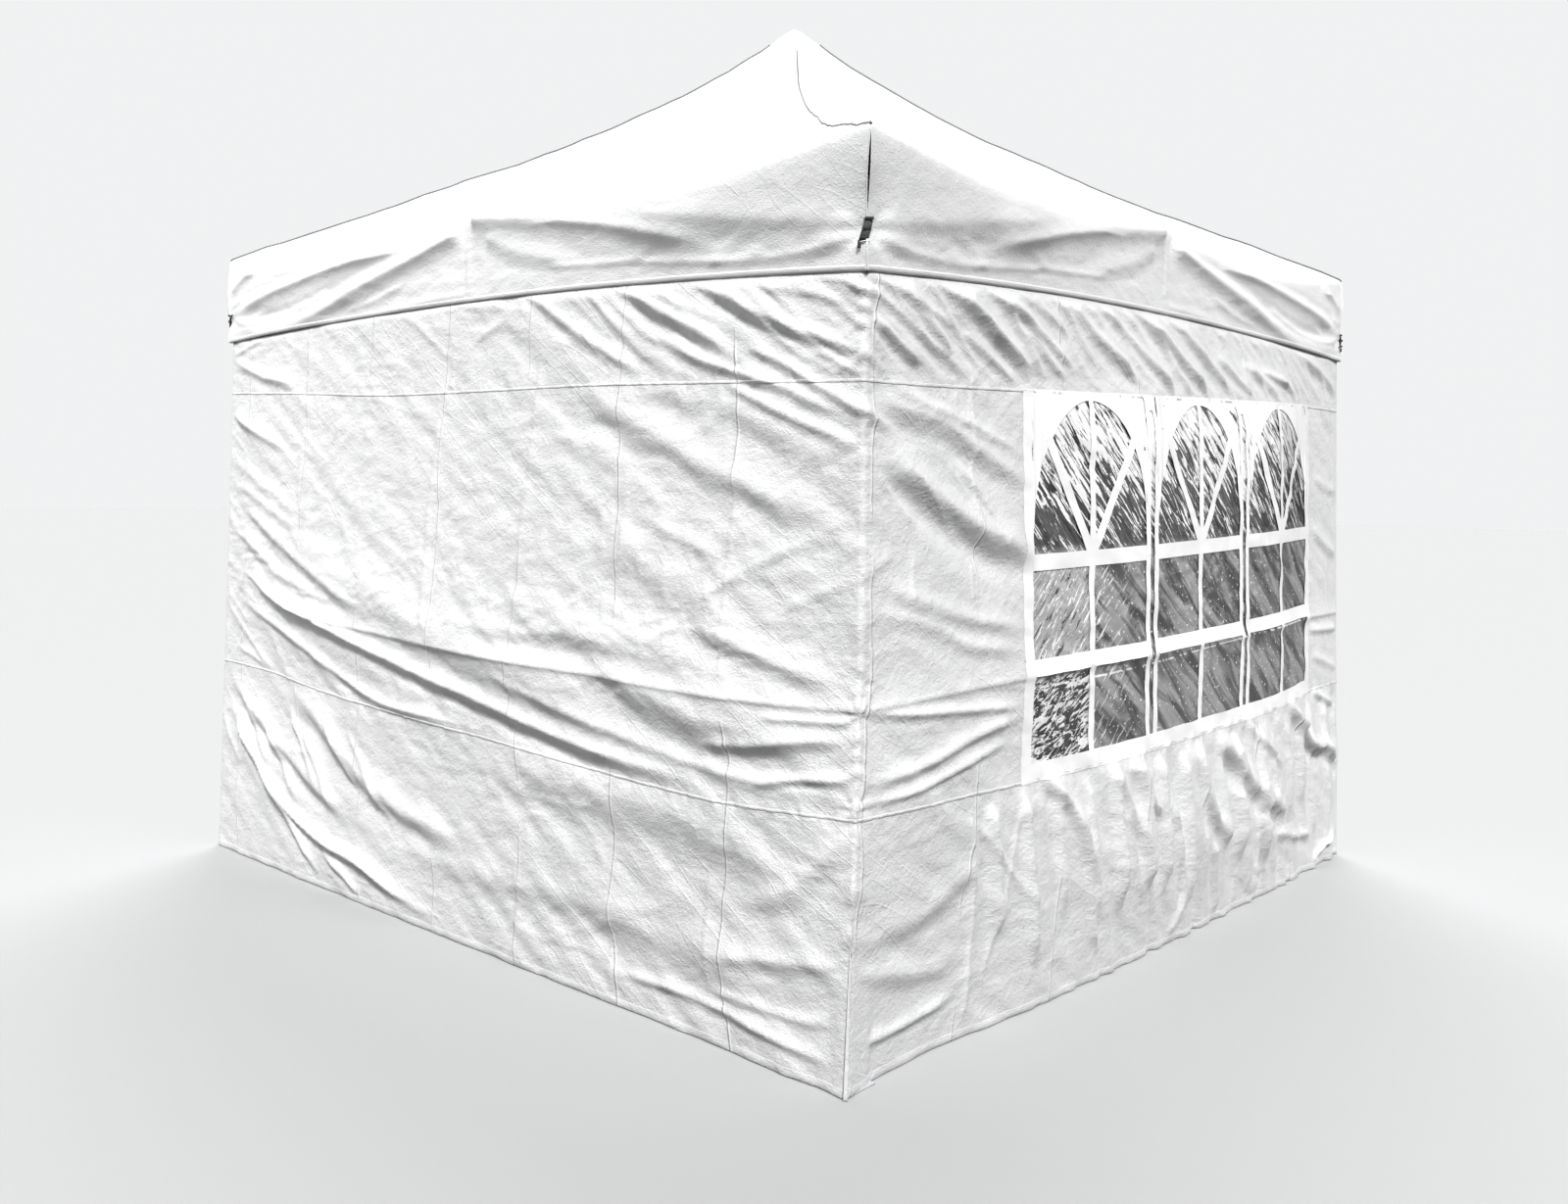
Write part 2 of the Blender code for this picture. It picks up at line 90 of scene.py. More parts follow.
# Walls
CORNER_ROUND = 0.012
HEM_GAP = 0.0035
CORNER_PULL = 0.034
FLARE = 0.020
FOLD_GAINS = ((1.30, 1.50, 2.50), (1.95, 1.95, 2.85))
CREASE_GAINS = (2.7, 2.4)
UPPER_FOLDS_Z = 1.65
LOWER_FOLDS_Z = 0.68
UNDER_HEM_Z = (1.86, 1.93)
BEHIND_HEM_Z = 1.955
CREST_ROUND = 0.0015
LIMIT_ROUND = 0.002
SLACK = 0.007
SWELL = 0.044
BELLY = 0.047
CORNER_LEAN = 0.024
CORNER_DENT = 0.030
TAUT_CREST = 0.0115
GATHERS = 0.0018
PLEATS = 0.0036
PANEL_PUCKERS = 0.0013
CORNER_PUCKERS = 0.0042
CRUMPLES = 0.0024
STEEP_WAVES = 0.0105
BAND_WAVES = 0.0034
SOFT_WAVES = 0.0028
SWELL_TOP_Z = 1.90
BELLY_TOP_Z = 1.93
BAND_TOP_Z = 1.94
LEAN_TOP_Z = 0.62
DENT_TOP_Z = 0.60
SLIDER_Z = 1.60
LEG_REACH = 0.09
MOST_OUT = 0.080
BEHIND_TAPE = 0.0012
COLUMNS = {"left": 398, "front": 398, "right": 180, "back": 180}
ROWS = {"left": 246, "front": 246, "right": 112, "back": 112}
COLUMN_SHARES = (0.34, 0.56, 0.10)
ROW_SHARES = (0.30, 0.165, 0.325, 0.20, 0.01)
ROW_CROWDING = 0.045
FOLDED_PITCH = 0.41

# Window film and print, in panel coordinates: x along the wall, z as on the undistorted panel
FILM_GRIDS = {"front": (300, 150), "back": (200, 100)}
FILM_PROUD = 0.0012
FILM_MIDDLE_Z = 1.13
PANE_WIDE = 0.59
PANE_PITCH = 0.665
BORDER = 0.04
GAP_HALF = (PANE_PITCH - PANE_WIDE) / 2
SLOT_HALF = 0.0115
SLOT_X = WINDOW_LOW.x + BORDER + PANE_WIDE + GAP_HALF
GLASS_BOTTOM_Z = 0.665
OVERLAP = 0.006
SLOT_TOP_Z = 1.600
ARCH_SPRING_Z = 1.250
ARCH_TOP_Z = 1.622
TRANSOMS = ((1.168, 1.212), (0.893, 0.937))
MULLION_HALF = 0.014
SLANT_HALF = 0.0170
SLANT_FOOT = (0.004, 1.205)
SLANT_HEAD = (0.225, 1.520)
PRINT_STEP = 0.010
PRINT_ROWS = 4

# Seams, hems and stitches: (up, proud) of the lines across a band
SEAM_ROWS = ((-0.0042, -0.0004), (-0.0039, 0.0005), (0, 0.0008), (0.0039, 0.0005), (0.0042, -0.0004))
FOOT_ROWS = ((0.0, -0.0003), (0.0010, 0.0003), (0.010, 0.0004), (0.0200, 0.0003), (0.0212, -0.0003))
HEM_ROWS = ((-0.0008, -0.0010), (-0.0006, 0.0005), (0.009, 0.0008), (HEM_BAND - 0.0005, 0.0006),
            (HEM_BAND, -0.0003))
STITCH_PITCH = 0.0060
STITCH_LONG = 0.0042
STITCH_RADIUS = 0.0005

SIDE_FRAMES = {
    # side: direction along it from its left end seen from outside, direction out of it, where its p starts
    "left": (np.array([0.0, -1.0]), np.array([-1.0, 0.0]), -SIDE),
    "front": (np.array([1.0, 0.0]), np.array([0.0, -1.0]), 0.0),
    "right": (np.array([0.0, 1.0]), np.array([1.0, 0.0]), -SIDE),
    "back": (np.array([-1.0, 0.0]), np.array([0.0, 1.0]), 0.0),
}


def smooth(t):
    """Eases from 0 to 1 as t goes from 0 to 1."""
    t = np.clip(t, 0.0, 1.0)
    return t * t * (3 - 2 * t)


def along_curve(points, x):
    """A smooth height over x through given points (x, height), by cubic pieces with level-headed slopes."""
    px, py = np.array(points, float).T
    slope = np.gradient(py, px)
    index = np.clip(np.searchsorted(px, x) - 1, 0, len(px) - 2)
    wide = px[index + 1] - px[index]
    t = np.clip((x - px[index]) / wide, 0.0, 1.0)
    a, b = py[index], py[index + 1]
    sa, sb = slope[index] * wide, slope[index + 1] * wide
    return a + t * (sa + t * (3 * (b - a) - 2 * sa - sb + t * (2 * (a - b) + sa + sb)))


def noise(x, y, seed):
    """Smooth noise between about -1 and 1 on a unit lattice, the same each run."""
    lattice = np.random.default_rng(seed).random((256, 256)) * 2 - 1
    xi, yi = np.floor(x).astype(int), np.floor(y).astype(int)
    fx, fy = (t**3 * (t * (t * 6 - 15) + 10) for t in (x - xi, y - yi))
    x0, x1, y0, y1 = xi % 256, (xi + 1) % 256, yi % 256, (yi + 1) % 256
    low = lattice[x0, y0] * (1 - fx) + lattice[x1, y0] * fx
    high = lattice[x0, y1] * (1 - fx) + lattice[x1, y1] * fx
    return low * (1 - fy) + high * fy


def crumple(p, z, long, high, seed):
    """Creased cloth between about -1 and 1: sharp-crested noise, bent by softer noise, on cells long by high."""
    bend = noise(p / (3 * long), z / (3 * high), seed + 1)
    u, v = p / long + 1.3 * bend, z / high + 1.3 * noise(p / (2 * long), z / (2 * high), seed + 2)
    first = 1 - 2.4 * np.abs(noise(u, v, seed + 3))
    second = 1 - 2.4 * np.abs(noise(2.1 * u + 5, 2.3 * v, seed + 4))
    return 0.65 * first + 0.35 * second


def turned(p, z, degrees):
    """Coordinates along and across a direction that falls by that many degrees to the right."""
    angle = math.radians(degrees)
    return p * math.cos(angle) - z * math.sin(angle), p * math.sin(angle) + z * math.cos(angle)


def waves(p, z, degrees, long, high, seed):
    """Noise on cells long by high, turned to fall by that many degrees to the right."""
    along, across = turned(p, z, degrees)
    return noise(along / long, across / high, seed)


def at_least(value, limit):
    """The value, or the limit where that is higher, with the change from one to the other rounded."""
    return limit + 0.5 * (value - limit + np.hypot(value - limit, LIMIT_ROUND))


def resampled(points):
    """A smooth path through given points, in six pieces from each to the next."""
    points = np.array(points, float)
    before = np.vstack([2 * points[0] - points[1], points, 2 * points[-1] - points[-2]])
    t = np.linspace(0, 1, 6, endpoint=False)[:, None]
    runs = [0.5 * (2 * b + (c - a) * t + (2 * a - 5 * b + 4 * c - d) * t**2 + (3 * b - a - 3 * c + d) * t**3)
            for a, b, c, d in zip(before, before[1:], before[2:], before[3:])]
    return np.vstack([*runs, points[-1:]])


def beside(points, p, z, reach, ends):
    """For the places within reach of a path: which they are, how far to its left, how far along it, 0 to 1, and
    a strength that rises and fades over the shares of its length in ends."""
    path = resampled(points)
    low, high = path.min(0) - reach, path.max(0) + reach
    near = np.flatnonzero((p > low[0]) & (p < high[0]) & (z > low[1]) & (z < high[1]))
    x, y = p[near], z[near]
    best = np.full(len(near), 1e9)
    side, share = np.zeros((2, len(near)))
    steps = np.diff(path, axis=0)
    lengths = np.hypot(steps[:, 0], steps[:, 1])
    starts = np.concatenate([[0], np.cumsum(lengths)])
    for (ax, ay), (dx, dy), length, start in zip(path, steps, lengths, starts):
        t = np.clip(((x - ax) * dx + (y - ay) * dy) / length**2, 0, 1)
        ox, oy = x - ax - t * dx, y - ay - t * dy
        distance = np.hypot(ox, oy)
        closer = distance < best
        best[closer] = distance[closer]
        side[closer] = np.sign(dx * oy - dy * ox)[closer] * distance[closer]
        share[closer] = ((start + t * length) / starts[-1])[closer]
    return near, side, share, smooth(share / ends[0]) * smooth((1 - share) / ends[1])


def add_fold(depth, p, z, wide, slope, points, ends):
    """Adds a fold along a path, drawn as the band where the cloth leans over: on it the cloth stands further
    out to the path's left, by slope; past its half width, in mm, it leans back."""
    wide = np.atleast_1d(np.array(wide, float)) / 1000
    near, side, share, strength = beside(points, p, z, 5.5 * wide.max(), ends)
    half = wide[0] + (wide[-1] - wide[0]) * share
    # wide folds are soft waves; narrow ones have a sharp crest at the band's upper edge
    crisp = np.clip((0.036 - half) / 0.024, 0.25, 0.85)
    off = side - 0.9 * half
    away = np.hypot(off, CREST_ROUND) - CREST_ROUND
    crest = 1.5 * half * np.exp(-away / np.where(off > 0, 1.1 * half, 1.8 * half))
    wave = side * np.exp(-(side**2) / (2 * half**2))
    depth[near] += strength * slope * (crisp * crest + (1 - 0.6 * crisp) * wave)


def add_ridge(depth, p, z, left, right, height, soft, points, ends):
    """Adds a ridge along a path: a crest that falls away over left and right mm, rounded over soft mm."""
    near, side, _, strength = beside(points, p, z, 5 * max(left, right) / 1000, ends)
    wide = np.where(side > 0, left, right) / 1000
    away = np.hypot(side, soft / 1000) - soft / 1000
    depth[near] += strength * height / 1000 * np.exp(-away / wide)


def add_pinch(depth, p, z, at, reach, pull, rays, lift, phase):
    """Draws the cloth in at a tie, with short folds that run out from it like rays."""
    away_p, away_z = p - at[0], z - at[1]
    away = np.hypot(away_p, away_z)
    near = away < 6 * reach
    turn = np.arctan2(away_z[near], away_p[near])
    r = away[near] / reach
    depth[near] -= pull * np.exp(-(r**2) / 2)
    depth[near] += lift * r * np.exp(1 - r) * np.cos(rays * turn + phase) * np.exp(-r / 2)


# Lines across the walls: heights over p
UPPER_SEAM = ((-3, 1.705), (-2.4, 1.683), (-2.0, 1.664), (-1.4, 1.657), (-0.9, 1.655), (-0.5, 1.645),
              (0, 1.632), (0.66, 1.646), (1.4, 1.668), (2.1, 1.690), (2.66, 1.705), (3, 1.705))
TENSION = ((-3, 1.065), (-2.8, 1.030), (-2.6, 0.965), (-2.4, 0.930), (-2.0, 0.901), (-1.6, 0.885),
           (-1.2, 0.876), (-0.8, 0.875), (-0.4, 0.870), (0, 0.877), (0.3, 0.889), (0.66, 0.896),
           (1.4, 0.905), (2.1, 0.915), (2.7, 0.932), (3, 0.932))
LOWER_SEAM = ((-3, 0.700), (-2.6, 0.695), (-2.3, 0.672), (-1.9, 0.652), (-1.2, 0.630), (-0.8, 0.616),
              (-0.4, 0.612), (0, 0.629), (0.3, 0.628), (0.66, 0.622), (1.4, 0.630), (2.1, 0.645),
              (2.66, 0.660), (3, 0.665))

# Folds of the left wall, p below 0, and of the front wall, p above 0: half width in mm, lean before FOLD_GAINS, path
FOLDS = (
    # upper band of the left wall
    (17, 0.42, (-1.20, 1.915), (-1.08, 1.84), (-0.95, 1.77), (-0.85, 1.72), (-0.72, 1.66)),
    (10, 0.30, (-0.95, 1.905), (-0.87, 1.84), (-0.76, 1.76)),
    (19, 0.50, (-0.80, 1.90), (-0.65, 1.82), (-0.50, 1.755), (-0.40, 1.70)),
    (9, 0.30, (-0.70, 1.89), (-0.55, 1.83), (-0.42, 1.78)),
    (15, 0.42, (-0.77, 1.81), (-0.65, 1.75), (-0.50, 1.69), (-0.35, 1.645), (-0.20, 1.60), (0, 1.51)),
    (18, 0.50, (-0.54, 1.90), (-0.38, 1.82), (-0.20, 1.75), (0, 1.68), (0.06, 1.655)),
    (13, 0.42, (-0.42, 1.73), (-0.28, 1.69), (-0.10, 1.60), (0, 1.55), (0.15, 1.49)),
    (12, 0.45, (-0.27, 1.90), (-0.10, 1.87), (0, 1.832), (0.10, 1.79), (0.20, 1.74), (0.32, 1.69), (0.42, 1.65)),
    (9, 0.30, (-0.30, 1.87), (-0.15, 1.835), (0, 1.785)),
    (9, 0.35, (-0.15, 1.71), (0, 1.635)),
    (8, 0.25, (-1.50, 1.775), (-1.42, 1.815), (-1.30, 1.865)),
    (16, 0.42, (-3.0, 1.81), (-2.90, 1.79), (-2.75, 1.745), (-2.65, 1.73), (-2.48, 1.70)),
    (8, 0.35, (-3.0, 1.838), (-2.90, 1.855), (-2.74, 1.895)),
    (10, 0.20, (-1.85, 1.91), (-1.75, 1.86), (-1.65, 1.79), (-1.57, 1.74)),
    # between the seams, left wall
    (15, 0.42, (-3.0, 1.62), (-2.85, 1.57), (-2.70, 1.52), (-2.56, 1.475)),
    (36, 0.24, (-1.04, 1.645), (-0.85, 1.57), (-0.72, 1.51), (-0.55, 1.43), (-0.35, 1.36), (-0.05, 1.28)),
    (30, 0.14, (-0.80, 1.655), (-0.60, 1.60), (-0.40, 1.55), (-0.20, 1.47), (0, 1.38)),
    (12, 0.45, (-0.45, 1.645), (-0.25, 1.56), (-0.10, 1.505), (0, 1.465)),
    (20, 0.20, (-3.0, 1.47), (-2.85, 1.40), (-2.70, 1.34), (-2.50, 1.27), (-2.30, 1.22)),
    (16, 0.24, (-3.0, 1.36), (-2.85, 1.33), (-2.60, 1.25), (-2.40, 1.19)),
    (20, 0.34, (-2.95, 1.30), (-2.70, 1.20), (-2.50, 1.12), (-2.30, 1.05), (-2.10, 0.98), (-1.90, 0.93)),
    (20, 0.30, (-3.0, 1.205), (-2.85, 1.15), (-2.70, 1.09), (-2.60, 1.04), (-2.40, 1.00), (-2.2, 0.96)),
    (26, 0.20, (-1.60, 0.95), (-1.20, 0.94), (-0.90, 0.95), (-0.55, 0.91)),
    (24, 0.34, (-0.55, 1.03), (-0.30, 0.97), (-0.05, 0.90)),
    (14, 0.24, (-0.70, 1.29), (-0.52, 1.23), (-0.40, 1.20)),
    # broad shades across the left wall
    ((55, 75), 0.17, (-2.79, 1.286), (-2.50, 1.151), (-2.15, 1.009), (-1.76, 0.909), (-1.41, 0.839),
     (-1.10, 0.757), (-0.82, 0.684), (-0.57, 0.635)),
    (45, 0.16, (-1.30, 0.99), (-1.164, 0.997), (-0.934, 0.96), (-0.721, 0.944), (-0.431, 0.889)),
    (45, 0.26, (-0.93, 0.906), (-0.57, 0.788), (-0.295, 0.759), (-0.03, 0.735)),
    (45, 0.12, (-0.94, 1.216), (-0.725, 1.155), (-0.575, 1.095), (-0.344, 1.013)),
    (60, 0.08, (-1.373, 0.537), (-0.915, 0.514), (-0.524, 0.495), (-0.149, 0.432)),
    (60, 0.06, (-1.05, 0.236), (-0.60, 0.188), (-0.214, 0.147)),
    # between the tension line and the lower seam, left wall
    ((16, 24), 0.62, (-3.0, 1.055), (-2.80, 1.02), (-2.60, 0.955), (-2.40, 0.915), (-2.20, 0.878),
     (-2.0, 0.838), (-1.80, 0.80), (-1.60, 0.765), (-1.40, 0.735), (-1.20, 0.70), (-1.0, 0.67),
     (-0.80, 0.648), (-0.60, 0.635), (-0.35, 0.625)),
    ((12, 16), 0.42, (-3.0, 0.965), (-2.80, 0.915), (-2.60, 0.865), (-2.40, 0.81), (-2.20, 0.75),
     (-2.0, 0.69), (-1.85, 0.66), (-1.60, 0.65), (-1.35, 0.642)),
    (9, 0.34, (-3.0, 0.93), (-2.85, 0.83), (-2.70, 0.745), (-2.58, 0.69)),
    (16, 0.28, (-1.40, 0.83), (-1.0, 0.755), (-0.70, 0.705), (-0.45, 0.675), (-0.2, 0.66), (0, 0.655)),
    (15, 0.40, (-0.50, 0.73), (-0.30, 0.75), (-0.15, 0.78), (0, 0.795)),
    (10, 0.40, (-0.30, 0.665), (-0.15, 0.695), (0, 0.712)),
    (9, 0.40, (-0.28, 0.83), (-0.12, 0.835), (0, 0.842)),
    (9, 0.30, (-2.90, 0.755), (-2.75, 0.73), (-2.62, 0.70)),
    # below the lower seam, left wall
    (26, 0.26, (-2.98, 0.64), (-2.80, 0.555), (-2.60, 0.46), (-2.40, 0.37), (-2.20, 0.29), (-2.05, 0.25)),
    ((12, 20), 0.44, (-3.0, 0.62), (-2.90, 0.51), (-2.75, 0.40), (-2.60, 0.30), (-2.40, 0.20), (-2.20, 0.145),
     (-2.0, 0.12), (-1.80, 0.065), (-1.60, 0.03)),
    (14, 0.36, (-2.72, 0.35), (-2.50, 0.22), (-2.35, 0.10), (-2.25, 0.02)),
    (34, 0.22, (-2.50, 0.63), (-2.30, 0.56), (-2.20, 0.50), (-2.0, 0.39), (-1.90, 0.35), (-1.70, 0.31),
     (-1.40, 0.27)),
    (12, 0.28, (-2.25, 0.12), (-2.10, 0.06), (-2.0, 0.01)),
    (36, 0.08, (-1.80, 0.22), (-1.40, 0.20), (-1.0, 0.22), (-0.6, 0.19)),
    (26, 0.13, (-0.35, 0.36), (-0.20, 0.40), (-0.08, 0.50), (0, 0.60)),
    (18, 0.18, (-0.45, 0.21), (-0.20, 0.25), (0, 0.285)),
    (12, 0.24, (-0.84, 0.08), (-0.50, 0.092), (-0.20, 0.065), (0, 0.05)),
    (10, 0.20, (-0.50, 0.13), (-0.20, 0.13), (0, 0.15)),
    # upper band of the front wall
    (11, 0.42, (0, 1.875), (0.06, 1.855), (0.15, 1.83), (0.25, 1.80), (0.38, 1.768)),
    (12, 0.46, (0, 1.775), (0.10, 1.72), (0.20, 1.665)),
    (17, 0.52, (0.29, 1.89), (0.40, 1.83), (0.55, 1.755), (0.72, 1.675)),
    (11, 0.34, (0.35, 1.78), (0.50, 1.71), (0.62, 1.655)),
    (15, 0.42, (0.50, 1.895), (0.65, 1.83), (0.80, 1.76), (0.96, 1.685)),
    (9, 0.28, (0.67, 1.89), (0.80, 1.845), (0.90, 1.80)),
    (10, 0.34, (0.62, 1.815), (0.75, 1.74), (0.87, 1.67)),
    (16, 0.38, (0.90, 1.895), (1.0, 1.83), (1.10, 1.78), (1.30, 1.68)),
    (14, 0.36, (1.10, 1.90), (1.25, 1.82), (1.40, 1.74), (1.52, 1.68)),
    (17, 0.48, (1.34, 1.91), (1.50, 1.82), (1.70, 1.71), (1.76, 1.675)),
    (15, 0.42, (1.58, 1.89), (1.75, 1.80), (1.94, 1.69)),
    (12, 0.34, (1.84, 1.83), (2.0, 1.75), (2.13, 1.69)),
    (16, 0.26, (2.04, 1.81), (2.22, 1.755), (2.36, 1.70)),
    (12, 0.40, (2.18, 1.795), (2.40, 1.77), (2.50, 1.73), (2.53, 1.69)),
    (18, 0.24, (2.60, 1.87), (2.80, 1.82), (3.0, 1.75)),
    # between the seams, front wall
    ((26, 36), 0.46, (0, 1.462), (0.10, 1.42), (0.20, 1.37), (0.30, 1.32), (0.45, 1.26), (0.60, 1.21),
     (0.72, 1.17)),
    (24, 0.24, (0.0, 1.575), (0.15, 1.55), (0.30, 1.52), (0.45, 1.46), (0.70, 1.37)),
    (14, 0.22, (0.05, 1.63), (0.20, 1.58), (0.35, 1.55), (0.68, 1.46)),
    (20, 0.22, (0, 1.165), (0.20, 1.10), (0.40, 1.05), (0.60, 1.02), (0.68, 1.01)),
    (18, 0.18, (0, 1.10), (0.25, 1.04), (0.40, 0.985), (0.66, 0.955)),
    (11, 0.42, (0, 0.868), (0.10, 0.852), (0.30, 0.838), (0.50, 0.826), (0.68, 0.812)),
    (14, 0.36, (0.0, 0.695), (0.20, 0.712), (0.35, 0.745), (0.50, 0.772), (0.68, 0.79)),
    (9, 0.26, (0, 0.655), (0.20, 0.665), (0.40, 0.70), (0.62, 0.74)),
    (14, 0.20, (2.70, 1.44), (2.85, 1.40), (3.0, 1.38)),
    (18, 0.22, (2.68, 1.25), (2.85, 1.18), (3.0, 1.13)),
    (14, 0.34, (2.66, 0.875), (2.85, 0.865), (3.0, 0.862)),
    (16, 0.22, (2.68, 0.78), (2.85, 0.74), (3.0, 0.70)),
    # below the lower seam, front wall
    (30, 0.10, (0, 0.33), (0.15, 0.325), (0.30, 0.345), (0.45, 0.41), (0.55, 0.46)),
    (24, 0.10, (0, 0.26), (0.25, 0.20), (0.45, 0.18)),
    (10, 0.16, (0.44, 0.56), (0.55, 0.45), (0.65, 0.36), (0.80, 0.24)),
    (16, 0.30, (0.76, 0.62), (0.88, 0.51), (0.96, 0.40), (1.02, 0.28)),
    (20, 0.26, (1.08, 0.62), (1.16, 0.50), (1.26, 0.37), (1.34, 0.28)),
    (18, 0.34, (1.18, 0.61), (1.28, 0.50), (1.38, 0.40)),
    (20, 0.30, (1.58, 0.61), (1.66, 0.46), (1.75, 0.35), (1.86, 0.24)),
    (28, 0.32, (1.76, 0.63), (1.82, 0.56), (1.95, 0.47), (2.10, 0.37), (2.25, 0.30), (2.42, 0.24)),
    (12, 0.26, (2.0, 0.63), (2.10, 0.56), (2.25, 0.47), (2.32, 0.40)),
    (22, 0.40, (2.38, 0.65), (2.50, 0.56), (2.60, 0.48), (2.70, 0.44), (2.80, 0.43), (2.90, 0.37), (3.0, 0.33)),
    (12, 0.28, (2.70, 0.65), (2.82, 0.61), (2.96, 0.57)),
    (10, 0.40, (2.70, 0.02), (2.85, 0.065), (3.0, 0.09)),
    (16, 0.20, (2.30, 0.20), (2.50, 0.15), (2.70, 0.12)),
    (12, 0.24, (0.0, 0.10), (0.20, 0.09), (0.45, 0.11)),
    (11, 0.10, (0.655, 0.597), (0.605, 0.398), (0.55, 0.20), (0.516, 0.097)),
    (12, 0.34, (0.891, 0.561), (0.97, 0.35), (1.028, 0.156), (1.097, 0.043)),
    (13, 0.36, (1.437, 0.478), (1.51, 0.30), (1.562, 0.142), (1.513, 0.01)),
    (10, 0.30, (1.151, 0.488), (1.23, 0.33), (1.30, 0.162)),
    (12, 0.32, (1.76, 0.283), (1.81, 0.14), (1.855, 0.01)),
    (12, 0.32, (2.111, 0.375), (2.14, 0.20), (2.171, 0.016)),
)

# Sharp lines pressed in by packing and pulling: width in mm, height in mm before CREASE_GAINS, path
CREASES = (
    (7, 2.6, (-2.425, 1.575), (-2.44, 1.50), (-2.45, 1.30)),
    (5, 1.5, (-2.005, 1.60), (-2.05, 1.40), (-2.08, 1.24)),
    (5, 1.0, (-2.37, 1.81), (-2.40, 1.69)),
    (5, 1.0, (-2.18, 1.65), (-2.25, 1.50)),
    (6, 2.0, (-1.62, 1.60), (-1.65, 1.35), (-1.66, 1.15), (-1.645, 1.0), (-1.61, 0.89)),
    (4, 1.2, (-1.565, 1.83), (-1.58, 1.66)),
    (5, 1.6, (-1.145, 1.75), (-1.17, 1.50), (-1.20, 1.20), (-1.20, 1.06)),
    (5, 1.0, (-0.76, 1.43), (-0.77, 1.20), (-0.79, 1.08)),
    (5, 1.1, (-0.375, 1.54), (-0.375, 1.35), (-0.39, 1.10), (-0.40, 0.89)),
    (5, 1.2, (-1.50, 0.72), (-1.55, 0.60), (-1.60, 0.46), (-1.60, 0.30), (-1.605, 0.12)),
    (5, 1.1, (-1.205, 0.34), (-1.20, 0.14), (-1.23, 0.02)),
    (5, 1.3, (-0.81, 0.30), (-0.81, 0.02)),
    (5, 1.3, (-0.40, 0.55), (-0.44, 0.42), (-0.45, 0.25), (-0.45, 0.11)),
    (6, 2.8, (-0.47, 1.10), (-0.38, 1.15), (-0.30, 1.19), (-0.18, 1.245), (-0.09, 1.27)),
    (6, 2.4, (-0.60, 1.005), (-0.52, 1.05)),
    (6, 2.4, (-0.22, 1.09), (-0.10, 1.14), (0, 1.18), (0.06, 1.21), (0.12, 1.24)),
    (6, 1.8, (0.42, 1.70), (0.42, 1.53), (0.43, 1.48), (0.42, 1.40), (0.44, 1.30)),
    (5, 1.4, (0.42, 1.21), (0.42, 1.10)),
    (7, 3.6, (0.425, 0.60), (0.45, 0.50), (0.47, 0.38), (0.48, 0.25), (0.48, 0.10), (0.47, 0.03)),
    (8, 3.0, (0.95, 0.52), (0.98, 0.42), (1.01, 0.30), (1.04, 0.18), (1.06, 0.11)),
    (10, 4.0, (1.37, 0.63), (1.42, 0.52), (1.47, 0.42), (1.505, 0.36), (1.52, 0.25), (1.54, 0.12), (1.55, 0.0)),
    (6, 2.0, (1.96, 0.30), (2.0, 0.17), (2.0, 0.0)),
    (6, 2.0, (2.24, 0.46), (2.29, 0.40), (2.30, 0.34)),
    (6, 1.8, (2.29, 0.27), (2.33, 0.23), (2.33, 0.16)),
    (5, 1.4, (0.18, 1.24), (0.17, 1.12)),
)

# Places at the near corner that draw the cloth in: place, reach, pull, number of rays, lift of the rays
PINCHES = (
    ((0, 0.868), 0.030, 0.004, 7, 0.0028),
    ((0, 0.655), 0.028, 0.003, 7, 0.0026),
    ((0, 0.310), 0.026, 0.003, 5, 0.0024),
    ((0, 0.160), 0.022, 0.003, 7, 0.0018),
    ((0, 0.060), 0.022, 0.003, 7, 0.0020),
    ((0, 1.480), 0.026, 0.002, 5, 0.0020),
    ((0, 1.190), 0.022, 0.002, 5, 0.0012),
)

# Rows of small parallel folds between the large ones: first and last p at the top, top and bottom z, run to
# the right on the way down, how many, how deep, how wide
FOLD_ROWS = (
    (-1.10, 0.02, 1.955, 1.62, 0.45, 13, 0.9, 1.5),
    (0.04, 2.35, 1.955, 1.62, 0.37, 19, 0.9, 1.9),
    (-3.02, -2.45, 1.60, 1.40, 0.34, 5, 1.0, 1.0),
    (-3.02, -2.30, 1.02, 0.80, 0.40, 6, 1.1, 1.0),
    (-3.02, -2.00, 0.60, 0.22, 0.34, 9, 1.2, 1.8),
    (0.52, 2.90, 0.63, 0.05, 0.12, 18, 1.3, 2.9),
    (0.0, 0.35, 1.50, 1.20, 0.36, 5, 1.0, 1.0),
)

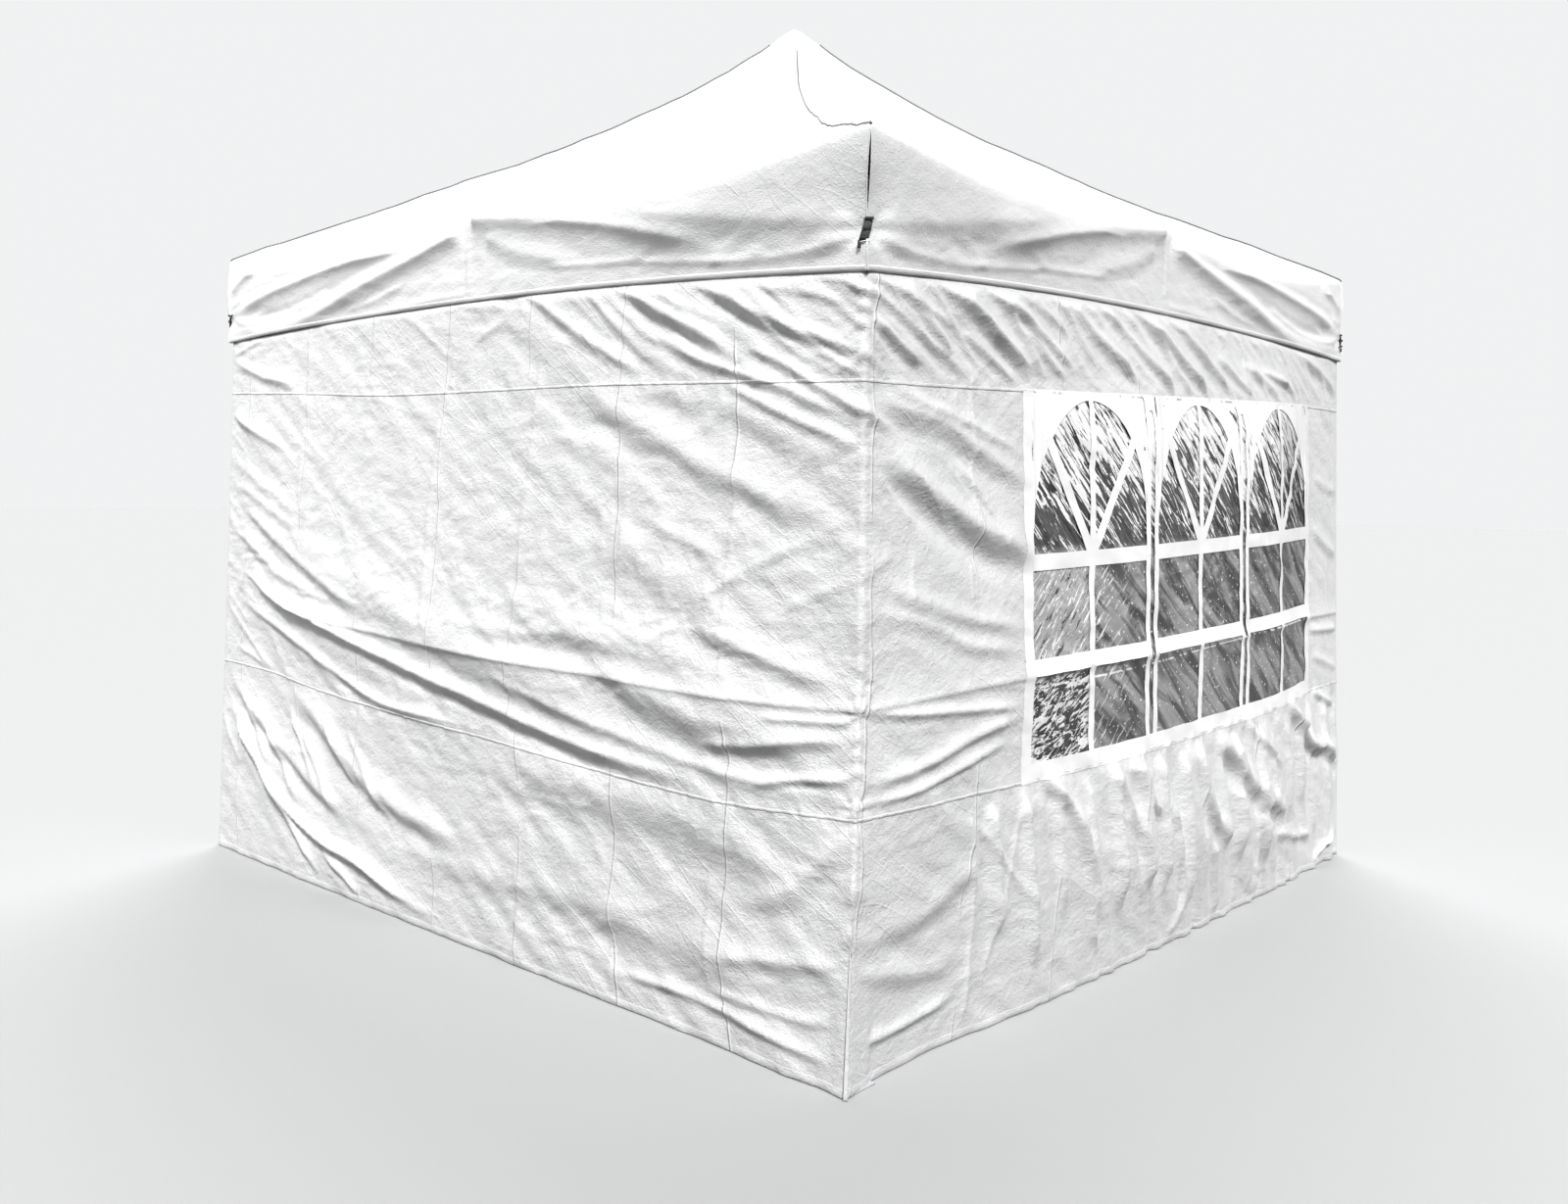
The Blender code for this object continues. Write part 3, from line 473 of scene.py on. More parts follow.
# Folds of the valance on the left side; the front side mirrors them about the near corner
VALANCE_FOLDS = (
    ((22, 32), 0.60, (-1.53, 2.165), (-1.80, 2.105), (-2.10, 2.045), (-2.40, 1.975), (-2.65, 1.945), (-2.98, 1.955)),
    ((14, 20), 0.50, (-1.90, 2.145), (-2.20, 2.125), (-2.50, 2.095), (-2.78, 2.055), (-3.0, 2.005)),
    (12, 0.46, (-2.80, 2.165), (-2.90, 2.135), (-3.0, 2.085)),
    (10, 0.36, (-2.30, 2.035), (-2.55, 1.985), (-2.80, 1.965), (-3.0, 1.985)),
    (8, 0.30, (-2.90, 2.06), (-2.96, 2.045), (-3.0, 2.025)),
    (12, 0.30, (-1.52, 1.965), (-1.70, 1.960), (-1.98, 1.945)),
    (9, 0.24, (-1.85, 2.02), (-2.0, 1.985), (-2.2, 1.955)),
    (26, 0.16, (-1.42, 2.09), (-1.25, 2.03), (-1.05, 1.985)),
    (9, 0.22, (-1.10, 1.990), (-0.90, 1.978), (-0.70, 1.972)),
    (10, 0.22, (-0.75, 1.965), (-0.55, 1.945), (-0.40, 1.935)),
    (14, 0.30, (-0.50, 1.935), (-0.30, 1.925), (-0.12, 1.935), (0, 1.955)),
)

# Ridges of the same half: mm above and below, height in mm, softness in mm, path
VALANCE_RIDGES = (
    (80, 34, 25, 2, (-1.50, 2.178), (-1.25, 2.150), (-0.90, 2.091), (-0.73, 2.052), (-0.55, 2.010), (-0.46, 1.985)),
    (190, 46, 22, 12, (-0.86, 2.12), (-0.64, 2.087), (-0.48, 2.061), (-0.25, 2.026), (-0.08, 2.003), (0.02, 1.99)),
)


def small_folds():
    """Folds that fill the rows of small folds, each a little different from the next."""
    luck = np.random.default_rng(5)
    for first, last, high, low, run, count, deep, wide in FOLD_ROWS:
        tall, reach = high - low, 0.3 if high < 1.8 and last < 2.5 else 0.05
        for start in np.linspace(first, last, count):
            start += luck.uniform(-0.03, 0.03)
            top, foot = high - luck.uniform(0, reach) * tall, low + luck.uniform(0, 0.35) * tall
            share = (top - foot) / tall
            middle = (start + 0.5 * run * share, (top + foot) / 2 - luck.uniform(-0.012, 0.020))
            yield (wide * luck.uniform(4, 9), deep * luck.uniform(0.16, 0.36),
                   (start, top), middle, (start + run * share, foot))


def fold_gain(p, z):
    """How deep the folds that start at a place are: in the upper band, between the seams, and below them."""
    high, middle, low = FOLD_GAINS[0] if p < 0 else FOLD_GAINS[1]
    return high if z > UPPER_FOLDS_Z else middle if z > LOWER_FOLDS_Z else low


def fold_ends(p, z):
    """Shares of a fold's length over which it rises and fades: one from behind the valance is there at once."""
    if z > UNDER_HEM_Z[1]:
        return 0.04, 0.22
    return (0.15, 0.25) if z < LOWER_FOLDS_Z and p > 0.4 else (0.25, 0.25)


def from_hem(points):
    """Carries a fold that starts just under the hem on up behind the valance."""
    (p, z), (next_p, next_z) = points[:2]
    if not UNDER_HEM_Z[0] < z < UNDER_HEM_Z[1]:
        return points
    steep = min(abs(next_p - p) / abs(next_z - z), 1.6)
    return ((p - (BEHIND_HEM_Z - z) * math.copysign(steep, next_p - p), BEHIND_HEM_Z), *points)


def path_relief(p, z):
    """The folds and creases along the listed paths, and the rays at the ties."""
    depth = np.zeros(len(p))
    for wide, slope, *points in [*FOLDS, *small_folds()]:
        points = from_hem(points)
        add_fold(depth, p, z, wide, fold_gain(*points[0]) * slope, points, fold_ends(*points[0]))
    for wide, height, *points in CREASES:
        gain = CREASE_GAINS[points[0][0] > 0.3]
        add_ridge(depth, p, z, 3 * wide, 1.5 * wide, gain * height, 0.8, points, (0.12, 0.12))
    for at, reach, pull, rays, lift in PINCHES:
        add_pinch(depth, p, z, at, reach, pull, rays, lift, at[1] * 7)
    return depth


def small_relief(p, z, upper, tension, lower):
    """The taut line, the puckers along seams and edges, and the crumpled and slack cloth between them."""
    # the taut line right across both walls: a crest that falls away sharply below
    off = z - tension
    depth = TAUT_CREST * smooth((p + 2.9) / 0.5) * (0.80 + 0.20 * noise(p / 0.3, p * 0, 11))
    depth *= np.exp(-np.abs(off) / np.where(off > 0, 0.030, 0.011))

    # gathers at the seams: short folds that hang from and stand on the stitching, and pleats under the window
    for line, seed in ((upper, 21), (lower, 23)):
        off = z - line
        depth += GATHERS * noise(p / 0.016 + 0.4 * off / 0.016, off / 0.05, seed) * np.exp(-np.abs(off) / 0.022)
    pleat = noise(p / 0.020, (z - lower) / 0.2, 25) * np.exp(-np.maximum(lower - z, 0) / 0.045) * (z < lower)
    depth += PLEATS * pleat * smooth((p - 0.5) / 0.3)

    # puckers along the upright edges of the window panel, and small herringbone ones round the near leg
    inside = smooth((z - lower + 0.02) / 0.03) * smooth((upper + 0.02 - z) / 0.03)
    for edge in WINDOW_EDGES:
        puckers = noise((p - edge) / 0.04, z / 0.010, 27) * np.exp(-np.abs(p - edge) / 0.018)
        depth += PANEL_PUCKERS * puckers * inside
    puckers = noise(p / 0.05, (z + 0.5 * np.abs(p)) / 0.019, 29)
    depth += CORNER_PUCKERS * puckers * np.exp(-np.abs(p) / 0.034)

    # crumpled cloth, strongest in the middle of the left wall
    middle = smooth((z - 0.88) / 0.1) * smooth((1.50 - z) / 0.25)
    left = smooth((0.15 - p) / 0.3)
    depth += CRUMPLES * crumple(p, z, 0.085, 0.032, 31) * (0.30 + 0.70 * middle * left)
    depth += CRUMPLES * crumple(p, z, 0.17, 0.10, 41) * (0.5 + 0.5 * left)

    # slack waves: steep under the window, slanting in the upper band, and soft ones everywhere
    below = smooth((lower - z) / 0.06) * smooth((p - 0.6) / 0.3)
    depth += STEEP_WAVES * waves(p, z, 73, 0.45, 0.040, 51) * below
    above = smooth((z - upper) / 0.05) * smooth((BAND_TOP_Z - z) / 0.04) * smooth((p + 1.2) / 0.5)
    depth += BAND_WAVES * waves(p, z, 33, 0.20, 0.024, 53) * above
    return depth + SOFT_WAVES * waves(p, z, 33, 0.25, 0.045, 55)


def broad_form(p, z, tension):
    """The swell of both walls, the belly of the window wall and the lean by the near corner."""
    # the walls swell out to the taut line and fall back below it
    over = np.clip((z - tension) / (SWELL_TOP_Z - tension), 0, 1)
    dropped = 0.6 * np.clip(z / tension, 0, 1) ** 0.8 + 0.4 * smooth((z - tension + 0.24) / 0.24)
    swell = np.where(z > tension, (1 - over) ** 1.5, dropped)
    wide_left = smooth(-p / 0.45) * smooth((SIDE + p) / 0.9)
    wide_front = 0.45 * smooth(p / 0.35) * smooth((1.1 - p) / 0.6)
    depth = SWELL * swell * (wide_left + wide_front)

    # the slack middle of the window wall bellies out
    x = p - HALF
    belly = smooth((x + 1.1) / 1.0) * smooth((1.30 - x) / 0.62)
    depth += BELLY * belly * smooth((z + 0.1) / 0.5) * smooth((BELLY_TOP_Z - z) / 0.42)
    depth += SLACK * smooth(np.abs(p) / 0.25) * smooth((SIDE - np.abs(p)) / 0.25)

    # low down near the corner the cloth leans back a little
    lean = np.exp(-((p - 0.1) ** 2) / (2 * 0.55**2)) * smooth(1 - z / LEAN_TOP_Z)
    dent = np.exp(-(((p - 0.32) / 0.30) ** 2)) * smooth(1 - z / DENT_TOP_Z)
    return depth - CORNER_LEAN * lean - CORNER_DENT * dent


def wall_depth(p, z):
    """How far the cloth of the walls stands out from its plane."""
    shape = np.shape(p)
    p, z = np.ravel(p).astype(float), np.ravel(z).astype(float)
    upper, tension, lower = (along_curve(line, p) for line in (UPPER_SEAM, TENSION, LOWER_SEAM))
    depth = path_relief(p, z) + small_relief(p, z, upper, tension, lower) + broad_form(p, z, tension)
    # the far edges are held at the legs
    beside_corner = np.abs(p)
    depth *= smooth((SIDE - beside_corner) / 0.035)

    # behind the valance the wall lies flat, held by its tape
    over_hem = z - along_hem(p)
    most = HEM_GAP + MOST_OUT * smooth((0.004 - over_hem) / 0.12)
    behind = smooth((over_hem - 0.008) / 0.030)
    depth = -at_least(-depth, -most) * (1 - behind) - BEHIND_TAPE * behind

    # it never goes as far in as the legs and their sliders
    by_leg = 1 - smooth((beside_corner - 0.03) / 0.06)
    free = smooth((beside_corner - LEG_REACH) / 0.10) * smooth((SIDE - LEG_REACH - beside_corner) / 0.10)
    least = -0.0060 + 0.0055 * by_leg - flare(z) - 0.040 * free * smooth((SLIDER_Z - z) / 0.15)
    return at_least(depth, least).reshape(shape)


def along_hem(p):
    """Height of the canopy's hem over p."""
    v = (np.abs(p) - HALF) / HALF
    corner = np.where(v < 0, HEM_CORNER_Z, HEM_FAR_CORNER_Z)
    return HEM_MIDDLE_Z + (corner - HEM_MIDDLE_Z) * v * v


def flare(z):
    """How far the walls spread towards the ground."""
    return FLARE * np.clip(1 - z / HEM_CORNER_Z, 0, 1) ** 1.3


def in_plan(side, run, reach):
    """x and y of places run metres along a side from its middle, and reach metres out from the centre."""
    along, out, _ = SIDE_FRAMES[side]
    return along[0] * run + out[0] * reach, along[1] * run + out[1] * reach


def wall_points(side, p, z, depth):
    """Places unrolled wall points in space: along the side, round the corners, standing out by depth."""
    straight = WALL_HALF + flare(z) - CORNER_ROUND
    s = (p - SIDE_FRAMES[side][2] - HALF) / HALF * (straight + CORNER_ROUND * math.pi / 4)
    turn = np.maximum(np.abs(s) - straight, 0) / CORNER_ROUND
    radius = CORNER_ROUND + depth
    run = np.sign(s) * (np.minimum(np.abs(s), straight) + radius * np.sin(turn))
    x, y = in_plan(side, run, straight + radius * np.cos(turn))
    # low down, the corner between the two walls is pulled out past the leg
    pulled = CORNER_PULL * np.clip(1 - z / 0.95, 0, 1) * np.exp(-((p / 0.40) ** 2))
    return np.stack([x + pulled * (-1 if side in ("left", "front") else 1), y, z], axis=-1)


def mesh_object(name, points, groups, material, flat=None):
    """A smooth-shaded mesh from points and arrays of faces, each array with its own number of corners.

    flat holds each point's place on the cloth laid flat, in metres, for the material's weave and creases."""
    points = np.asarray(points, np.float32).reshape(-1, 3)
    groups = [np.asarray(group, np.int32) for group in groups]
    corners = np.concatenate([group.ravel() for group in groups])
    sizes = np.concatenate([np.full(len(group), group.shape[1]) for group in groups])
    starts = np.concatenate([[0], np.cumsum(sizes)[:-1]]).astype(np.int32)
    mesh = bpy.data.meshes.new(name)
    mesh.vertices.add(len(points))
    mesh.vertices.foreach_set("co", points.ravel())
    mesh.loops.add(len(corners))
    mesh.loops.foreach_set("vertex_index", corners)
    mesh.polygons.add(len(sizes))
    mesh.polygons.foreach_set("loop_start", starts)
    mesh.polygons.foreach_set("use_smooth", np.ones(len(sizes), bool))
    mesh.update(calc_edges=True)
    if flat is not None:
        places = np.asarray(flat, np.float32).reshape(-1, 2)[corners]
        mesh.uv_layers.new(name="cloth").data.foreach_set("uv", places.ravel())
    mesh.validate()
    mesh.materials.append(material)
    return linked(bpy.data.objects.new(name, mesh))


def linked(thing):
    """Puts an object into the scene."""
    bpy.context.scene.collection.objects.link(thing)
    return thing


def cleaned(piece, weld=None):
    """Welds points closer than weld, or removes the points that no face uses."""
    bm = bmesh.new()
    bm.from_mesh(piece.data)
    if weld:
        bmesh.ops.remove_doubles(bm, verts=bm.verts, dist=weld)
    else:
        bmesh.ops.delete(bm, geom=[vert for vert in bm.verts if not vert.link_faces], context="VERTS")
    bm.to_mesh(piece.data)
    bm.free()
    return piece


def grid_faces(rows, columns, keep=slice(None)):
    """The quads of a grid of points, or those of them that keep picks."""
    index = np.arange(rows * columns).reshape(rows, columns)
    quads = np.stack([index[:-1, :-1], index[:-1, 1:], index[1:, 1:], index[1:, :-1]], axis=-1)
    return quads[keep].reshape(-1, 4)


def wall_rows(p, count):
    """Heights of the grid's rows at each p, so that rows follow the seams and the taut line, closer beside them."""
    lines = [
        np.full_like(p, WALL_BOTTOM), along_curve(LOWER_SEAM, p), along_curve(TENSION, p),
        along_curve(UPPER_SEAM, p), along_hem(p) + 0.045, np.full_like(p, WALL_TOP),
    ]
    rows, anchors = [lines[0][None, :]], [0]
    for low, high, share in zip(lines, lines[1:], ROW_SHARES):
        steps = round(share * count)
        t = np.linspace(0, 1, steps + 1)[1:]
        t = t - ROW_CROWDING * np.sin(2 * math.pi * t)
        rows.append(low + (high - low) * t[:, None])
        anchors.append(anchors[-1] + steps)
    return np.vstack(rows), anchors


def wall_columns(side):
    """Places of the grid's columns, closer near p = 0, with some exactly on the window panel's edges."""
    count = COLUMNS[side]
    if side in ("left", "right"):
        t = np.linspace(1, 0, count)
        return -SIDE * (0.62 * t + 0.38 * t * t), None
    edges = [0.0, *WINDOW_EDGES, SIDE]
    runs, marks = [np.array([0.0])], [0]
    for low, high, share in zip(edges, edges[1:], COLUMN_SHARES):
        steps = round(count * share)
        runs.append(np.linspace(low, high, steps + 1)[1:])
        marks.append(marks[-1] + steps)
    return np.concatenate(runs), marks[1:3]


def make_wall(side, material):
    columns, window = wall_columns(side)
    heights, anchors = wall_rows(columns, ROWS[side])
    p = np.broadcast_to(columns, heights.shape)
    keep = np.ones((heights.shape[0] - 1, heights.shape[1] - 1), bool)
    if window:
        keep[anchors[1]:anchors[3], window[0]:window[1]] = False
    points = wall_points(side, p, heights, wall_depth(p, heights))
    piece = mesh_object(f"{side}_wall_cloth", points, [grid_faces(*heights.shape, keep)], material,
                        np.stack([p, heights], -1))
    return cleaned(piece) if window else piece


def film_depth(p, z):
    """How far the window film stands out: the cloth round it, with the film's own hard crinkles."""
    x = p - HALF
    middle_x = (WINDOW_LOW.x + WINDOW_HIGH.x) / 2
    inner = smooth((1.0 - np.abs(x - middle_x)) / 0.06) * smooth((0.50 - np.abs(z - FILM_MIDDLE_Z)) / 0.05)
    arch = smooth((z - 1.16) / 0.10) * inner
    first = smooth((-0.05 - x) / 0.35) * inner
    low_left = first * smooth((0.98 - z) / 0.05)
    depth = wall_depth(p, z) + 0.0007 * crumple(*turned(p, z, 48), 0.15, 0.022, 61) * (0.10 * inner + 0.90 * arch)
    depth += 0.0006 * crumple(*turned(p, z, -58), 0.10, 0.020, 71) * first * (1 - arch)
    depth += 0.0008 * crumple(p, z, 0.060, 0.026, 81) * low_left
    return depth + 0.0018 * waves(p, z, 48, 0.22, 0.07, 91) * inner


def panel_points(side, x, z, proud):
    """Places points of the undistorted window panel on the film, standing out from it by proud."""
    p = x + HALF
    low, high = along_curve(LOWER_SEAM, p), along_curve(UPPER_SEAM, p)
    height = low + (high - low) * (z - WINDOW_LOW.z) / (WINDOW_HIGH.z - WINDOW_LOW.z)
    return wall_points(side, p + SIDE_FRAMES[side][2], height, film_depth(p, height) + proud)


def make_film(side, material):
    columns, rows = FILM_GRIDS[side]
    x, z = np.meshgrid(np.linspace(WINDOW_LOW.x - OVERLAP, WINDOW_HIGH.x + OVERLAP, columns),
                       np.linspace(WINDOW_LOW.z - OVERLAP, WINDOW_HIGH.z + OVERLAP, rows))
    return mesh_object(f"{side}_window_film", panel_points(side, x, z, -FILM_PROUD), [grid_faces(rows, columns)],
                       material, np.stack([x, z], -1))


def print_strips():
    """The printed white pattern as strips: each is two edges, lists of points (x, z), to be filled between."""
    strips = []
    left, right = WINDOW_LOW.x - OVERLAP, WINDOW_HIGH.x + OVERLAP
    top = WINDOW_HIGH.z + OVERLAP
    glass_left, glass_right = WINDOW_LOW.x + BORDER, WINDOW_HIGH.x - BORDER
    half = PANE_WIDE / 2
    centres = [glass_left + half + PANE_PITCH * index for index in range(3)]
    gaps = [centre + PANE_PITCH / 2 for centre in centres[:2]]

    def block(x0, x1, z0, z1):
        count = max(2, round(max(x1 - x0, z1 - z0) / PRINT_STEP) + 1)
        a, b, c, d = (x0, z0), (x1, z0), (x0, z1), (x1, z1)
        if z1 - z0 >= x1 - x0:
            a, b, c, d = b, d, a, c
        strips.append((np.linspace(a, b, count), np.linspace(c, d, count)))

    block(left, right, WINDOW_LOW.z - OVERLAP, GLASS_BOTTOM_Z)
    for low, high in ((GLASS_BOTTOM_Z, ARCH_SPRING_Z), (ARCH_SPRING_Z, top)):
        block(left, glass_left, low, high)
        block(glass_right, right, low, high)
        for gap in gaps:
            block(gap - GAP_HALF, gap - SLOT_HALF, low, high)
            block(gap + SLOT_HALF, gap + GAP_HALF, low, high)
    for gap in gaps:
        block(gap - SLOT_HALF, gap + SLOT_HALF, SLOT_TOP_Z, top)
    for centre in centres:
        for low, high in TRANSOMS:
            block(centre - half, centre + half, low, high)
        block(centre - MULLION_HALF, centre + MULLION_HALF, GLASS_BOTTOM_Z, ARCH_TOP_Z + 0.004)
        # the arch: everything between its curve and the top of the panel
        share = np.cos(np.linspace(math.pi, 0, 61))
        curve = ARCH_SPRING_Z + (ARCH_TOP_Z - ARCH_SPRING_Z) * np.sqrt(1 - share**2)
        xs = centre + half * share
        strips.append((np.stack([xs, curve], 1), np.stack([xs, xs * 0 + top], 1)))
        # two slanting bars from the upper transom to the arch
        for hand in (-1, 1):
            foot, head = (np.array([centre + hand * off, height]) for off, height in (SLANT_FOOT, SLANT_HEAD))
            run = (head - foot) / np.linalg.norm(head - foot)
            across = np.array([-run[1], run[0]]) * SLANT_HALF
            path = np.linspace(foot, head, 36)
            strips.append((path - across, path + across))
    return strips


def make_print(side, material):
    strips = []
    t = np.linspace(0, 1, PRINT_ROWS)[:, None, None]
    for lower, upper in print_strips():
        flat = lower * (1 - t) + upper * t
        points = panel_points(side, flat[..., 0], flat[..., 1], FILM_PROUD)
        strips.append((points.reshape(-1, 3), grid_faces(PRINT_ROWS, len(lower))))
    return joined(f"{side}_window_print", strips, material)


def rise(outward):
    """Height of the roof as a share, from about 1 at the peak to 0 at the eave, hollow towards the peak."""
    inward = 1 - np.hypot(outward, PEAK_ROUNDING) + PEAK_ROUNDING
    return STRAIGHT_SHARE * inward + (1 - STRAIGHT_SHARE) * inward**STEEP_POWER


def eave_height(p):
    """Height of the eave, which sags between the frame's corners and the middle of each side."""
    share = np.abs((np.abs(p) - HALF) / HALF)
    return EAVE_MIDDLE_Z + (EAVE_CORNER_Z - EAVE_MIDDLE_Z) * share - 4 * EAVE_SAG * share * (1 - share)


def valance_depth(p, z):
    """How far the valance stands out from the plane of its side."""
    shape = np.shape(p)
    p, z = -np.abs(np.ravel(p).astype(float)), np.ravel(z).astype(float)
    eave, over_hem = eave_height(p), z - along_hem(p)
    depth = np.zeros(len(p))
    for wide, slope, *points in VALANCE_FOLDS:
        add_fold(depth, p, z, wide, VALANCE_FOLD_GAIN * slope, points, (0.04, 0.2))
    for above, under, height, soft, *points in VALANCE_RIDGES:
        add_ridge(depth, p, z, above, under, height, soft, points, (0.04 if soft < 5 else 0.30, 0.18))
    middle_line = ((-HALF, 2.175), (-HALF - 0.004, 2.06), (-HALF, 1.935))
    add_ridge(depth, p, z, 9, 9, 5.0, 0, middle_line, (0.1, 0.1))
    for at_p, at_z, phase in ((0, TIE_Z, 0.6), (-SIDE, TIE_Z + 0.012, 2.0)):
        add_pinch(depth, p, z, (at_p, at_z), 0.032, 0.010, 9, 0.0045, phase)
        add_pinch(depth, p, z, (at_p, at_z - 0.062), 0.022, 0.003, 7, 0.0022, phase + 1)
    depth += 0.0012 * noise(p / 0.018, over_hem / 0.06, 121) * np.exp(-over_hem / 0.03)
    depth += 0.0022 * waves(p, z, -24, 0.16, 0.030, 123) * smooth((2.03 - z) / 0.05)
    depth += 0.0014 * crumple(p, z, 0.09, 0.045, 125) * smooth((2.06 - z) / 0.06)
    depth += 0.0010 * crumple(p, z, 0.10, 0.06, 127)
    # slack cloth bellies a little between the tips and the ties
    span = np.sin(math.pi * np.clip(np.mod(np.abs(p), HALF) / HALF, 0, 1))
    depth += 0.004 * span * smooth(over_hem / 0.09) + overhang(p, z, eave)
    taut = np.exp(-((over_hem / 0.050) ** 2))
    return (depth * (1 - 0.7 * taut) + 0.0020).reshape(shape)


def overhang(p, z, eave):
    """The eave juts out a little beside the photographed corner, so that the cloth under it leans inward."""
    return 0.025 * np.exp(-((p / 0.60) ** 2)) * smooth(1 - (eave - z) / 0.19)


def hung_depth(p, v, z):
    """How far the valance stands out, and how far its corner edges do: drawn in by the tie, full below it."""
    eave = eave_height(p)
    pull = np.exp(-((z - TIE_Z) ** 2) / (2 * 0.016**2))
    full = np.exp(-((z - TIE_Z + 0.045) ** 2) / (2 * 0.018**2))
    rounded = np.exp(-((z - eave + 0.10) ** 2) / (2 * 0.05**2))
    corner = overhang(p, z, eave) + 0.0030 + 0.003 * full - 0.007 * pull + 0.006 * rounded
    depth = valance_depth(p, z)
    return depth + (corner - depth) * smooth((np.abs(v) - 1 + CORNER_SHARE) / CORNER_SHARE), corner


def hanging_points(side, v, z, proud=0.0):
    """Places points of the valance in space; v runs from -1 to 1 along the side."""
    p = SIDE_FRAMES[side][2] + HALF + v * HALF
    depth, corner = hung_depth(p, v, z)
    # the corner edges part in a long narrow slit, wider on the side whose edge lies behind
    drop = (eave_height(p) - z) / (eave_height(p) - along_hem(p))
    slit = np.sin(math.pi * np.clip(drop / 0.62, 0, 1)) + 0.25 * smooth((drop - 0.7) / 0.3)
    left_gap = (SLIT + 0.0020 * slit) * smooth((-v - 0.90) / 0.10)
    right_gap = (SLIT + 0.0060 * slit) * smooth((v - 0.90) / 0.10)
    run = v * (HALF + corner + proud) + left_gap - right_gap
    return np.stack([*in_plan(side, run, HALF + depth + proud), z], -1)


def roof_points(side, u, v):
    """Places points of the roof in space; u runs from 0 at the peak to 1 at the eave.

    The hip towards the photographed corner, and the one opposite, hang hollow."""
    start = SIDE_FRAMES[side][2]
    p = start + HALF + v * HALF
    eave = eave_height(p)
    edge, corner = hung_depth(p, v, eave)
    by_eave = smooth((u - 0.6) / 0.4)
    x, y = in_plan(side, v * (HALF * u + corner * by_eave), HALF * u + edge * by_eave)
    hollow = smooth(u / 0.11) * np.clip(1 - u, 0, 1) ** 0.75
    near = 1 if start < 0 else -1
    z = eave + (PEAK_Z - eave) * rise(u) - HIP_HOLLOW * hollow * smooth((near * v - 0.25) / 0.75)
    # soft wrinkles along its slopes and round the peak
    turn, reach = np.arctan2(y, x), np.hypot(x, y)
    wrinkles = 0.009 * noise(turn * 9, reach / 0.9, 141) * smooth(reach / 0.15) * np.exp(-reach / 0.7)
    wrinkles += 0.007 * noise(x / 0.30, y / 0.30, 143)
    wrinkles += 0.0042 * crumple(x, y, 0.13, 0.13, 145) * smooth((1.02 - u) / 0.1)
    return np.stack([x, y, z + wrinkles * smooth(u / 0.05) * smooth((1 - u) / 0.06)], -1)


def canopy_lines():
    """Where the canopy's rows lie from peak to eave and from eave to hem, and its columns along a side."""
    shares = np.linspace(0, 1, ROOF_RINGS + 1)[1:]
    outward = np.concatenate([EAVE_RINGS[0] * shares**1.15, EAVE_RINGS[1:]])
    down = np.linspace(0, 1, VALANCE_ROWS + 1)[1:]
    v = np.linspace(-1, 1, CANOPY_COLUMNS)
    return outward, v - 0.35 * np.sin(2 * math.pi * v) / (2 * math.pi), down - 0.05 * np.sin(2 * math.pi * down)


def canopy_grids():
    """Each side's points from the peak to the hem; rows down to the eave meet the next side's along the hip."""
    outward, v, down = canopy_lines()
    eave_row = len(outward) - 1
    wide = np.sin(math.pi * np.abs(v))[:, None]
    grids = {}
    for side, (_, _, start) in SIDE_FRAMES.items():
        p = start + HALF + v * HALF
        z = eave_height(p) + (along_hem(p) - eave_height(p)) * down[:, None]
        roof = roof_points(side, outward[:, None], np.broadcast_to(v, (len(outward), len(v))))
        grid = np.concatenate([roof, hanging_points(side, np.broadcast_to(v, z.shape), z)])
        # the eave is a rolled edge, and between corner and middle the cloth passes over it in a wide curve
        for passes, reach, share in ((6, 3, 1.0), (60, 9, wide)):
            low, high = eave_row - reach, eave_row + reach + 1
            for _ in range(passes):
                around = grid[low - 1:high - 1] + grid[low + 1:high + 1]
                grid[low:high] += share * (0.25 * around - 0.5 * grid[low:high])
        grids[side] = grid
    for grid, after in zip(grids.values(), [*list(grids.values())[1:], grids["left"]]):
        hip = (grid[:eave_row + 1, -1] + after[:eave_row + 1, 0]) / 2
        grid[:eave_row + 1, -1] = after[:eave_row + 1, 0] = hip
    return grids, eave_row


def make_canopy(grids, material):
    """One welded sheet: four roof slopes round the peak, each running over the eave into its valance."""
    points, quads, fans, flats = [np.array([[0.0, 0.0, PEAK_Z]])], [], [], [np.zeros((1, 2))]
    outward, v, down = canopy_lines()
    spread = np.concatenate([outward, np.ones(len(down))])[:, None] * HALF * v
    run = np.concatenate([outward * ROOF_SLANT, ROOF_SLANT + down * VALANCE_DROP])[:, None] + 0 * v
    base = 1
    for index, grid in enumerate(grids.values()):
        flats.append(np.stack([spread + 4 * index, -run], -1).reshape(-1, 2))
        quads.append(grid_faces(*spread.shape)[:, ::-1] + base)
        ring = np.arange(len(v) - 1) + base
        fans.append(np.stack([np.zeros_like(ring), ring, ring + 1], 1))
        points.append(grid.reshape(-1, 3))
        base += spread.size
    piece = mesh_object("canopy_cloth", np.vstack(points), quads + fans, material, np.vstack(flats))
    return cleaned(piece, weld=0.00002)


